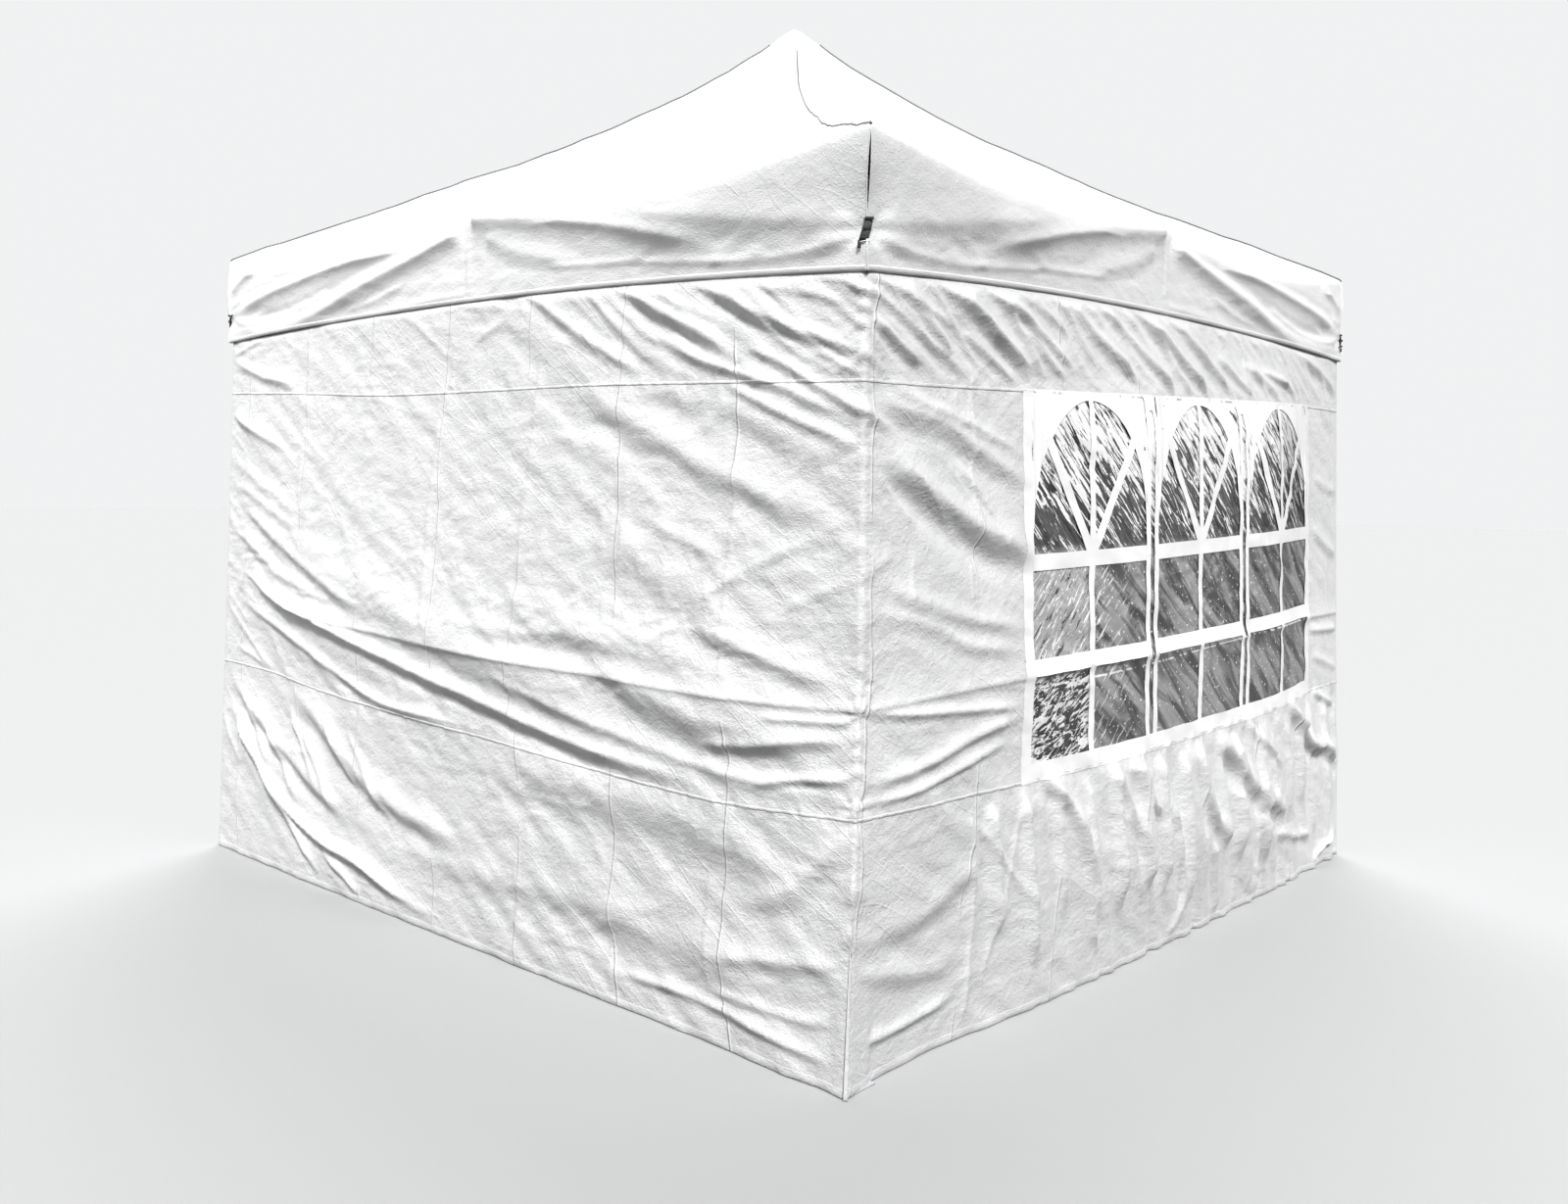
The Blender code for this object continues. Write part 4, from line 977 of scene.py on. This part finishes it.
def tube(path, radius, sides=8):
    """Points and faces of a round cord along a path, closed at both ends."""
    run = np.gradient(path, axis=0)
    run /= np.linalg.norm(run, axis=1)[:, None]
    across = np.cross(run, [0.0, 0.0, 1.0])
    upright = np.linalg.norm(across, axis=1) < 0.2
    across[upright] = np.cross(run[upright], [1.0, 0.0, 0.0])
    across /= np.linalg.norm(across, axis=1)[:, None]
    lift = np.cross(across, run)
    angle = np.linspace(0, 2 * math.pi, sides, endpoint=False)[:, None]
    ring = np.cos(angle) * across[:, None] + np.sin(angle) * lift[:, None]
    points = np.vstack([(path[:, None] + radius * ring).reshape(-1, 3), path[:1], path[-1:]])
    index = np.arange(len(path) * sides).reshape(-1, sides)
    after = np.roll(index, -1, axis=1)
    quads = np.stack([index[:-1], index[1:], after[1:], after[:-1]], -1).reshape(-1, 4)
    first, last = np.full(sides, index.size), np.full(sides, index.size + 1)
    fans = np.hstack([[first, index[0], after[0]], [last, after[-1], index[-1]]]).T
    return points, quads, fans


def joined(name, parts, material, flats=None):
    """One object from several sets of points and faces."""
    points, groups, base = [], [], 0
    for part_points, *part_groups in parts:
        points.append(part_points)
        groups += [group + base for group in part_groups]
        base += len(part_points)
    return mesh_object(name, np.vstack(points), groups, material, None if flats is None else np.vstack(flats))


def band(place, columns, height, rows):
    """A strip of cloth that follows place(columns, heights, proud) along a line; rows are (up, proud) pairs."""
    grid = np.stack([place(columns, height + up, proud) for up, proud in rows])
    flat = np.stack([np.stack([columns, height + up], -1) for up, _ in rows]).reshape(-1, 2)
    return (grid.reshape(-1, 3), grid_faces(len(rows), len(columns))), flat


def stitches(place, starts, height, long, proud):
    """Threads along a line, each a slim spindle lying on the cloth."""
    first = place(starts, height(starts), proud)
    last = place(starts + long, height(starts + long), proud)
    run = last - first
    run /= np.linalg.norm(run, axis=1)[:, None]
    lift = np.array([0.0, 0.0, 1.0]) - run * run[:, 2:3]
    out = np.cross(run, lift)
    rings = [(first + last) / 2 + STITCH_RADIUS * (math.cos(a) * out + math.sin(a) * lift)
             for a in (0, 2.0944, 4.1888)]
    pattern = np.array([[0, 2, 3], [0, 3, 4], [0, 4, 2], [1, 3, 2], [1, 4, 3], [1, 2, 4]])
    base = np.arange(len(starts))[:, None, None] * 5
    return np.stack([first, last, *rings], 1).reshape(-1, 3), (pattern + base).reshape(-1, 3)


def make_wall_seams(side, cloth, thread):
    """The felled seams across a wall, its foot hem, and their stitching."""
    def place(p, z, proud):
        return wall_points(side, p, z, wall_depth(p, z) + proud)

    columns, _ = wall_columns(side)
    starts = np.arange(columns[0] + 0.003, columns[-1] - 0.006, STITCH_PITCH)
    bands = [band(place, columns, along_curve(line, columns), SEAM_ROWS) for line in (UPPER_SEAM, LOWER_SEAM)]
    bands.append(band(place, columns, np.full_like(columns, WALL_BOTTOM), FOOT_ROWS))
    threads = [stitches(place, starts, lambda p: along_curve(line, p) + off, STITCH_LONG, 0.0009)
               for line in (UPPER_SEAM, LOWER_SEAM) for off in (-0.0027, 0.0027)]
    threads.append(stitches(place, starts, lambda p: 0 * p + WALL_BOTTOM + 0.018, STITCH_LONG, 0.0014))
    seams = joined(f"{side}_wall_seams", [part for part, _ in bands], cloth, [flat for _, flat in bands])
    return seams, joined(f"{side}_wall_stitching", threads, thread)


def make_hem(side, cloth, thread):
    """The turned hem of a valance and its stitching."""
    def place(v, z, proud):
        return hanging_points(side, v, z, proud)

    def height(v):
        return along_hem(SIDE_FRAMES[side][2] + HALF + v * HALF)

    v = canopy_lines()[1]
    part, flat = band(place, v, height(v), HEM_ROWS)
    starts = np.arange(-0.997, 0.993, STITCH_PITCH / HALF)
    row = stitches(place, starts, lambda v: height(v) + HEM_BAND - 0.004, STITCH_LONG / HALF, 0.0014)
    return [joined(f"{side}_valance_hem", [part], cloth, [flat * (HALF, 1)]),
            joined(f"{side}_valance_stitching", [row], thread)]


def make_piping(grids, eave_row, hip_cloth, edge_cloth):
    """Rolled edges: along the four hips, and down both edges of the slit at each corner."""
    # the hip piping's dark grey cloth is painted shade for the seam line
    hips = [tube(grid[2:eave_row + 1, -1] + (0, 0, 0.0026), 0.0028) for grid in grids.values()]
    edges = [tube(grid[eave_row:, column], 0.0018, sides=6) for grid in grids.values() for column in (0, -1)]
    return [joined("canopy_hip_piping", hips, hip_cloth), joined("canopy_slit_piping", edges, edge_cloth)]


def rounded_box(size, bevel):
    """Points and faces of a bevelled box about the origin."""
    bm = bmesh.new()
    bmesh.ops.create_cube(bm, size=1.0)
    bmesh.ops.scale(bm, vec=size, verts=bm.verts)
    bmesh.ops.bevel(bm, geom=list(bm.edges), offset=bevel, segments=2, profile=0.5, affect="EDGES")
    bmesh.ops.triangulate(bm, faces=bm.faces)
    points = np.array([vert.co[:] for vert in bm.verts])
    faces = np.array([[vert.index for vert in face.verts] for face in bm.faces])
    bm.free()
    return points, faces


# A tie at the near corner, in metres: (across, up, proud) of the strap from the slit, down over the buckle and
# back in; size, bevel and place of the buckle's two bars, its frame and the strap's free end
STRAP_PATH = ((0.004, 0.030, -0.016), (0.003, 0.026, 0.001), (0.001, 0.012, 0.0045), (-0.002, 0.0, 0.0050),
              (-0.005, -0.012, 0.0042), (-0.008, -0.024, 0.0015), (-0.009, -0.028, -0.014))
STRAP_HALF = 0.0105
STRAP_THICK = 0.0014
STRAP_COLUMNS = 7
BUCKLE_PARTS = (
    ((0.020, 0.004, 0.007), 0.0012, (0.004, 0.024, 0.0045)),
    ((0.018, 0.0035, 0.0045), 0.0012, (-0.008, -0.020, 0.0045)),
    ((0.018, 0.003, 0.009), 0.0012, (-0.001, 0.002, 0.0045)),
    ((0.008, 0.003, 0.018), 0.001, (-0.0175, -0.034, 0.0055)),
)


def make_ties(strap, plastic, white):
    """At each corner a strap and buckle that hold the slit closed, and a white cord end below."""
    axes = np.array([[1.0, -1.0, 0.0], [-1.0, -1.0, 0.0], [0.0, 0.0, math.sqrt(2)]]) / math.sqrt(2)
    side, out, up = axes
    centre = np.array([-HALF, -HALF, TIE_Z]) + out * 0.0010

    def spot(across, height, proud):
        wrap = math.hypot(across, 0.006) - 0.006
        return centre + side * across + up * height + out * (proud - 0.8 * wrap)

    grid = np.array([[spot(across + w, height, proud) for w in np.linspace(-STRAP_HALF, STRAP_HALF, STRAP_COLUMNS)]
                     for across, height, proud in STRAP_PATH])
    faces = grid_faces(*grid.shape[:2])
    index = np.arange(grid.size // 3).reshape(grid.shape[:2])
    edge = np.concatenate([index[:, 0], index[-1, 1:], index[-2::-1, -1], index[0, -2:0:-1]])
    after = np.roll(edge, -1)
    rim = np.stack([edge, edge + index.size, after + index.size, after], 1)
    ribbon = np.vstack([grid.reshape(-1, 3), (grid - out * STRAP_THICK).reshape(-1, 3)])
    boxes = []
    for size, bevel, place in BUCKLE_PARTS:
        body, sides = rounded_box(size, bevel)
        boxes.append((body @ axes + spot(*place), sides))
    cord = np.array([spot(x, -0.0275 - 5 * x * x, 0.0040) for x in np.linspace(-0.019, 0.006, 12)])

    def at_corners(name, parts, material):
        turned_parts = []
        for quarter in range(4):
            cos, sin = math.cos(quarter * math.pi / 2), math.sin(quarter * math.pi / 2)
            turn = np.array([[cos, sin, 0], [-sin, cos, 0], [0, 0, 1]])
            turned_parts += [(points @ turn, *groups) for points, *groups in parts]
        return joined(name, turned_parts, material)

    return (
        at_corners("corner_tie_straps", [(ribbon, faces[:, ::-1], faces + index.size, rim)], strap),
        at_corners("corner_tie_buckles", boxes, plastic),
        at_corners("corner_tie_cords", [tube(cord, 0.0016)], white),
    )


class Value:
    """A node's output; arithmetic with it adds Math nodes to the same tree."""

    def __init__(self, node, output):
        self.tree, self.socket = node.id_data, node.outputs[output]

    def node(self, kind, output, inputs, **settings):
        return Value(add_node(self.tree, kind, inputs, **settings), output)

    def maths(self, operation, first, second=0.0):
        return self.node("Math", "Value", {0: first, 1: second}, operation=operation)

    def __add__(self, other):
        return self.maths("ADD", self, other)

    def __sub__(self, other):
        return self.maths("SUBTRACT", self, other)

    def __rsub__(self, other):
        return self.maths("SUBTRACT", other, self)

    def __mul__(self, other):
        return self.maths("MULTIPLY", self, other)

    def __truediv__(self, other):
        return self.maths("DIVIDE", self, other)

    def __abs__(self):
        return self.maths("ABSOLUTE", self)

    __radd__, __rmul__ = __add__, __mul__


def add_node(tree, kind, inputs=(), **settings):
    """A node with its settings made and its inputs linked, where they are Values, or else set."""
    made = tree.nodes.new("ShaderNode" + kind)
    for key, value in settings.items():
        setattr(made, key, value)
    for socket, value in dict(inputs).items():
        if isinstance(value, Value):
            tree.links.new(value.socket, made.inputs[socket])
        else:
            made.inputs[socket].default_value = value
    return made


def new_material(name, **constants):
    """A material with constants on its shader's sockets, and that shader."""
    material = bpy.data.materials.new(name)
    material.use_nodes = True
    shader = material.node_tree.nodes["Principled BSDF"]
    for socket, value in constants.items():
        shader.inputs[socket.replace("_", " ")].default_value = value
    return material, shader


def feed(shader, **values):
    """Links values to the shader's sockets."""
    for socket, value in values.items():
        shader.id_data.links.new(value.socket, shader.inputs[socket.replace("_", " ")])


def place_on(shader, flat):
    """Where a point lies on the cloth laid flat, or else on the object, in metres."""
    if flat:
        return Value(add_node(shader.id_data, "UVMap", uv_map="cloth"), "UV")
    return Value(add_node(shader.id_data, "TexCoord"), "Object")


def split(place):
    """The three coordinates of a place."""
    apart = add_node(place.tree, "SeparateXYZ", {"Vector": place})
    return [Value(apart, axis) for axis in "XYZ"]


def grain(place, scale, detail=2.0, roughness=0.5, distortion=0.0, output="Fac"):
    """Noise with scale cells to the metre."""
    return place.node("TexNoise", output, {"Vector": place, "Scale": scale, "Detail": detail,
                                           "Roughness": roughness, "Distortion": distortion})


def ranged(value, low, high, start, end, **settings):
    return value.node("MapRange", "Result", {"Value": value, "From Min": low, "From Max": high, "To Min": start,
                                             "To Max": end}, **settings)


def eased(value, low, high, start=0.0, end=1.0):
    return ranged(value, low, high, start, end, interpolation_type="SMOOTHSTEP")


def highest(first, second):
    return first.maths("MAXIMUM", first, second)


def zigzag(value, peak):
    """Rises from 0 to peak and falls back, over and over."""
    return value.maths("PINGPONG", value, peak)


def mixed(share, first, second):
    return share.node("Mix", "Result", {"Factor": share, "A": first, "B": second}, data_type="FLOAT")


def bumped(height, strength=1.0, distance=1.0):
    return height.node("Bump", "Normal", {"Height": height, "Strength": strength, "Distance": distance})


def wandering_roughness(place, scale, low, high):
    return ranged(grain(place, scale, 3.0), 0.3, 0.7, low, high)


def wandering_colour(place, light, dark, scale, specks):
    """A colour that wanders between two shades, with finer specks on top."""
    ramp = add_node(place.tree, "ValToRGB", {"Fac": grain(place, scale, 5.0, 0.6)})
    for element, position, shade in zip(list(ramp.color_ramp.elements), (0.32, 0.62), (dark, light)):
        element.position, element.color = position, (*shade, 1)
    fine = ranged(grain(place, specks), 0.3, 0.7, 0.955, 1.0)
    return place.node("VectorMath", "Vector", {0: Value(ramp, "Color"), 1: fine}, operation="MULTIPLY")


def surface(name, relief, light, dark, scale, specks, roughness, bump=(1.0, 1.0), flat=False, **constants):
    """A material with a wandering colour and roughness (its scale, low and high), over relief(place)."""
    material, shader = new_material(name, **constants)
    place = place_on(shader, flat)
    feed(shader, Base_Color=wandering_colour(place, light, dark, scale, specks),
         Roughness=wandering_roughness(place, *roughness), Normal=bumped(relief(place), *bump))
    return material


def weave(first, second, pitch):
    """Threads crossing at right angles, as a height between about -2 and 2 over two coordinates."""
    return sum(value.maths("SINE", value * (2 * math.pi / pitch)) for value in (first, second))


def drawn_out(place, degrees, along, across, seed):
    """Coordinates stretched along a direction that falls by that many degrees to the right; sizes in metres."""
    cos, sin = math.cos(math.radians(degrees)), math.sin(math.radians(degrees))
    x, y = (place.node("VectorMath", "Value", {0: place, 1: direction}, operation="DOT_PRODUCT")
            for direction in ((cos, -sin, 0), (sin, cos, 0)))
    return place.node("CombineXYZ", "Vector", {"X": x / along, "Y": y / across, "Z": seed})


def streaks(place, degrees, along, across, seed, detail=4.0, bent=0.9):
    """Noise drawn out along a direction."""
    return grain(drawn_out(place, degrees, along, across, seed), 1.0, detail, 0.62, bent)


def crease_lines(place, degrees, along, across, seed, wide):
    """Sharp crease lines, 1 on the line and 0 beside it, that run roughly along a direction."""
    wander = streaks(place, degrees, along, across, seed, detail=0.0, bent=0.0)
    patches = streaks(place, degrees, 2.5 * along, 5 * across, seed + 20, detail=1.0, bent=0.2)
    return eased(abs(wander - 0.5), 0.0, wide, 1.0, 0.0) * eased(patches, 0.44, 0.60)


def facets(place, degrees, along, across, seed):
    """Crumpled cloth: straight-edged facets of about along by across metres, as a height between 0 and about 1."""
    laid = drawn_out(place, degrees, along, across, seed)
    bend = grain(laid, 0.8, output="Color")
    bent = laid.node("VectorMath", "Vector", {0: bend, 1: (0.9, 0.9, 0.0), 2: laid}, operation="MULTIPLY_ADD")
    return bent.node("TexVoronoi", "Distance", {"Vector": bent, "Scale": 1.0}, feature="F1")


def fabric(name, light, dark, pitch, creases, flat=True, pressed=False):
    """White coated polyester: a fine weave, small pressed creases and a soft sheen."""
    def relief(place):
        # heights in metres: soft dents of a few centimetres, finer ones on them, crease lines, and the weave
        x, y, _ = split(place)
        height = grain(place, 19.0, 3.0, 0.5, 0.6) * (0.0018 * creases)
        height += grain(place, 85.0, 4.0, 0.7) * (0.0031 * creases)
        height += grain(place, 270.0) * 0.0013 + weave(x, y, pitch) * 0.00003
        if creases >= 0.5:
            height += facets(place, 24, 0.085, 0.050, 3.0) * (0.0016 * creases)
            height += facets(place, -20, 0.044, 0.028, 4.0) * (0.0013 * creases)
            height += crease_lines(place, 34, 0.45, 0.060, 3.0, 0.030) * (0.0005 * creases)
        if pressed:
            # lines pressed in by the packing, one every FOLDED_PITCH along the wall
            off = zigzag(x + grain(place, 2.2, 1.0) * 0.10 + 0.33, FOLDED_PITCH / 2)
            height += eased(off, 0.0, 0.0055, 1.0, 0.0) * eased(grain(place, 1.7), 0.42, 0.52) * 0.0028
        return height

    return surface(name, relief, light, dark, scale=2.6, specks=320.0, roughness=(14.0, 0.40, 0.56), flat=flat,
                   Sheen_Weight=0.25, Sheen_Roughness=0.45, Specular_IOR_Level=0.42)


def window_film():
    """Clear soft film: see-through and glossy, with painted reflections as white streaks along hard crinkles in the
    arches and the first window, and painted shade in its dark base colour.
    """
    material, shader = new_material("window_film_clear", Specular_IOR_Level=0.5, IOR=1.5)
    panel = place_on(shader, flat=True)
    x, z, _ = split(panel)
    arch = eased(z, 1.18, 1.24)
    below = 1.0 - arch
    left_pane = eased(x, -0.53, -0.48, 1.0, 0.0) * below
    right_pane = eased(x, -0.44, -0.20, 1.0, 0.0) * below
    low = left_pane * eased(z, 0.90, 0.92, 1.0, 0.0)
    falling = streaks(panel, 42, 0.13, 0.014, 1.0, detail=5.0, bent=1.0)
    climbing = streaks(panel, -42, 0.09, 0.011, 5.0)
    crinkled = streaks(panel, -14, 0.07, 0.020, 7.0, detail=5.0, bent=1.6)
    broad = streaks(panel, 38, 0.34, 0.06, 9.0, detail=2.0)
    # the higher in the arch, the more of it is painted reflection, and in the slots between the windows most of all
    in_slot = eased(zigzag(x - SLOT_X, PANE_PITCH / 2), 0.012, 0.016, 1.0, 0.0) * eased(z, 1.27, 1.38)
    raised = falling + eased(z, 1.22, 1.62, -0.014, 0.105) + in_slot * 0.07
    arches = eased(raised, 0.535, 0.562) * arch
    upper_left = eased(climbing, 0.36, 0.44) * (left_pane - low)
    lower_left = eased(crinkled, 0.50, 0.54) * low
    rays = eased(climbing, 0.56, 0.62) * right_pane
    glints = eased(grain(panel, 85.0, 1.0), 0.675, 0.71) * below
    off_slack = abs(z - eased(x, -0.55, 0.75, 0.862, 0.886))
    slack_line = eased(off_slack, 0.0015, 0.0045, 1.0, 0.0) * eased(broad, 0.44, 0.52)
    # painted reflections: the white streaks, the slack line and the glints in the base colour stand in for light
    # reflected by the crinkled film
    painted_reflections = arches + upper_left * 0.5 + (lower_left + rays + slack_line) * 0.9 + glints
    painted_reflections = painted_reflections.node("Clamp", "Result", {"Value": painted_reflections})
    crinkly = highest(arch, left_pane)
    # painted shade: the dark grey base colour, darkest in the arches and the first window, stands in for the dim
    # inside seen through the film
    shade = eased(broad, 0.38, 0.62, 0.14, 0.68) * eased(crinkly, 0.0, 1.0, 1.0, 0.08)
    # dark scratches, painted shade, take no painted reflection, but they too hide what is behind, as all of it does
    # where it is crinkled
    hiding = highest(painted_reflections, eased(climbing, 0.34, 0.40, 1.0, 0.0) * left_pane)
    height = (falling * arch + crinkled * low) * 0.0020 + climbing * left_pane * 0.0014 + broad * 0.0034
    feed(shader, Base_Color=mixed(painted_reflections, shade, 0.93), Alpha=mixed(hiding, crinkly * 0.36 + 0.56, 0.98),
         Roughness=wandering_roughness(panel, 18.0, 0.07, 0.16), Normal=bumped(height))
    return material


def grained(name, light, dark, roughness, scale, depth, **constants):
    """Powder coat, moulded plastic or thread: a grained surface with slight variation."""
    return surface(name, lambda place: grain(place, scale, 3.0), light, dark, scale=9.0, specks=scale,
                   roughness=(40.0, *roughness), bump=(0.5, depth), **constants)


def webbing_relief(place):
    x, y, z = split(place)
    return weave(x - y, z, 0.0024)


# Materials
wall_cloth = fabric("wall_cloth_white", (0.80, 0.80, 0.80), (0.765, 0.767, 0.77), 0.0021, 1.0, pressed=True)
canopy_cloth = fabric("canopy_cloth_white", (0.87, 0.87, 0.87), (0.84, 0.842, 0.845), 0.0024, 0.6)
hem_cloth = fabric("hem_cloth_white", (0.85, 0.85, 0.85), (0.82, 0.82, 0.822), 0.0021, 0.4)
# the hips' piping is real, but its dark grey is painted shade for the line along each hip seam
hip_piping_painted_shade = fabric("piping_cloth_grey_painted_shade", (0.26, 0.26, 0.265), (0.20, 0.20, 0.205), 0.0021, 0.3, flat=False)
piping_white = fabric("piping_cloth_white", (0.85, 0.85, 0.85), (0.82, 0.82, 0.822), 0.0021, 0.3, flat=False)
thread_white = grained("thread_white", (0.80, 0.80, 0.80), (0.72, 0.72, 0.72), (0.5, 0.7), 900.0, 0.0002)
steel_coat = grained("frame_powder_coat", (0.72, 0.73, 0.74), (0.60, 0.61, 0.62), (0.30, 0.46), 700.0, 0.0002,
                     Metallic=0.15)
black_nylon = grained("frame_black_nylon", (0.055, 0.055, 0.058), (0.03, 0.03, 0.032), (0.45, 0.62), 420.0, 0.0003)
strap_webbing = surface("strap_webbing", webbing_relief, (0.12, 0.12, 0.125), (0.06, 0.06, 0.065), scale=60.0,
                        specks=500.0, roughness=(200.0, 0.6, 0.8), bump=(0.8, 0.0002), Sheen_Weight=0.3)
print_white = surface("window_print_white", lambda place: grain(place, 60.0, 3.0), (0.985, 0.985, 0.985),
                      (0.95, 0.95, 0.95), scale=6.0, specks=260.0, roughness=(20.0, 0.30, 0.42),
                      bump=(0.6, 0.0006), Specular_IOR_Level=0.5)
film_clear = window_film()


def dress(slot, *pieces):
    """Puts pieces on the fixed body; slot is not used."""
    for piece in pieces:
        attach(piece, "root")


# Canopy
grids, eave_row = canopy_grids()
canopy = make_canopy(grids, canopy_cloth)
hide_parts(*[f"{side}_roof_panel" for side in SIDE_FRAMES], *[f"{side}_valance" for side in SIDE_FRAMES])
canopy_extras = make_piping(grids, eave_row, hip_piping_painted_shade, piping_white)
for side in SIDE_FRAMES:
    canopy_extras += make_hem(side, hem_cloth, thread_white)
straps, buckles, cords = make_ties(strap_webbing, black_nylon, piping_white)
dress("canopy_fabric", canopy, *canopy_extras, cords)
dress("frame_joint", straps, buckles)

# Walls and windows
WINDOW_WIDE = WINDOW_HIGH.x - WINDOW_LOW.x
WINDOW_TALL = WINDOW_HIGH.z - WINDOW_LOW.z
for side in SIDE_FRAMES:
    wall = make_wall(side, wall_cloth)
    seams, stitching = make_wall_seams(side, wall_cloth, thread_white)
    dress("wall_fabric", wall, seams, stitching)
    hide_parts(f"{side}_wall")
    area = SIDE * WALL_TOP
    if side in FILM_GRIDS:
        film, pattern = make_film(side, film_clear), make_print(side, print_white)
        dress("window_film", film, pattern)
        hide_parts(f"{side}_window")
        area -= WINDOW_WIDE * WINDOW_TALL

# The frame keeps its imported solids, with a finish for each slot
FINISHES = {"frame_steel": steel_coat, "frame_joint": black_nylon}
for entry in frame["record"]["subparts"]:
    if entry["material_slot"] in FINISHES:
        for material_slot in frame["nodes"][entry["node"]].material_slots:
            material_slot.material = FINISHES[entry["material_slot"]]

# Floor
bm = bmesh.new()
bmesh.ops.create_circle(bm, cap_ends=True, segments=96, radius=60.0)
floor_mesh = bpy.data.meshes.new("floor")
bm.to_mesh(floor_mesh)
bm.free()
floor = linked(bpy.data.objects.new("floor", floor_mesh))
floor.location.z = -0.001
floor.visible_diffuse = False
floor_mesh.materials.append(new_material("floor_paint", Base_Color=(0.51, 0.512, 0.515, 1), Roughness=1.0,
                                         Specular_IOR_Level=0.0)[0])


def add_light(kind, name, aim, power, **settings):
    """A soft light that shines along aim."""
    light = bpy.data.lights.new(name, kind)
    light.energy = power
    for key, value in settings.items():
        setattr(light, key, value)
    lamp = linked(bpy.data.objects.new(name, light))
    lamp.rotation_mode = "QUATERNION"
    lamp.rotation_quaternion = Vector(aim).to_track_quat("-Z", "Y")
    return lamp


add_light("SUN", "key", (0.484, 0.545, -0.70), 4.4, angle=math.radians(11))
add_light("SUN", "back_fill", (-0.60, -0.45, -0.80), 1.8, angle=math.radians(40))

# Large soft lights beside the gazebo, kept off the floor so that the floor stays even
no_floor = bpy.data.collections.new("not_the_floor")
no_floor.objects.link(floor)
no_floor.collection_objects[0].light_linking.link_state = "EXCLUDE"
for name, place, target, wide, tall, power in (
    ("softbox_right", (7.5, -6.0, 2.8), (0.2, -1.5, 1.2), 3.0, 4.5, 75),
    ("softbox_left", (-5.5, 4.2, 4.2), (-1.5, 0.9, 1.7), 2.5, 2.5, 165),
):
    softbox = add_light("AREA", name, Vector(target) - Vector(place), power, shape="RECTANGLE", size=wide,
                        size_y=tall)
    softbox.location = place
    softbox.light_linking.receiver_collection = no_floor

# Sky: bright above, dim below, and an even pale backdrop to the camera
world = bpy.data.worlds.new("studio")
bpy.context.scene.world = world
world.use_nodes = True
sky = world.node_tree
up = split(Value(add_node(sky, "TexCoord"), "Generated"))[2]
lit = up.node("Background", "Background", {"Color": (1, 1, 1, 1), "Strength": ranged(up, -0.25, 0.75, 0.08, 0.40)})
backdrop = up.node("Background", "Background", {"Color": (0.90, 0.905, 0.91, 1), "Strength": 0.998})
seen = Value(add_node(sky, "LightPath"), "Is Camera Ray")
both = up.node("MixShader", "Shader", {0: seen, 1: lit, 2: backdrop})
sky.links.new(both.socket, sky.nodes["World Output"].inputs["Surface"])

# Camera, standing before the near corner and looking level
CAMERA_AT = (-3.995, -3.399, 1.390)
CAMERA_YAW = math.radians(43.615)
CAMERA_ROLL = math.radians(0.8385)
lens = bpy.data.cameras.new("camera")
lens.sensor_width = 36.0
lens.lens = 31.476
lens.shift_x = 0.0464
lens.shift_y = -0.0753
lens.clip_end = 200.0
camera = linked(bpy.data.objects.new("camera", lens))
forward = Vector((math.cos(CAMERA_YAW), math.sin(CAMERA_YAW), 0))
level = Vector((math.sin(CAMERA_YAW), -math.cos(CAMERA_YAW), 0))
upright = level.cross(forward)
camera_x = math.cos(CAMERA_ROLL) * level + math.sin(CAMERA_ROLL) * upright
camera_y = -math.sin(CAMERA_ROLL) * level + math.cos(CAMERA_ROLL) * upright
camera.matrix_world = Matrix.Translation(CAMERA_AT) @ Matrix((camera_x, camera_y, -forward)).transposed().to_4x4()
bpy.context.scene.camera = camera
bpy.context.scene.view_settings.view_transform = "Standard"
bpy.context.scene.view_settings.look = "None"
bpy.context.scene.view_settings.gamma = 0.82
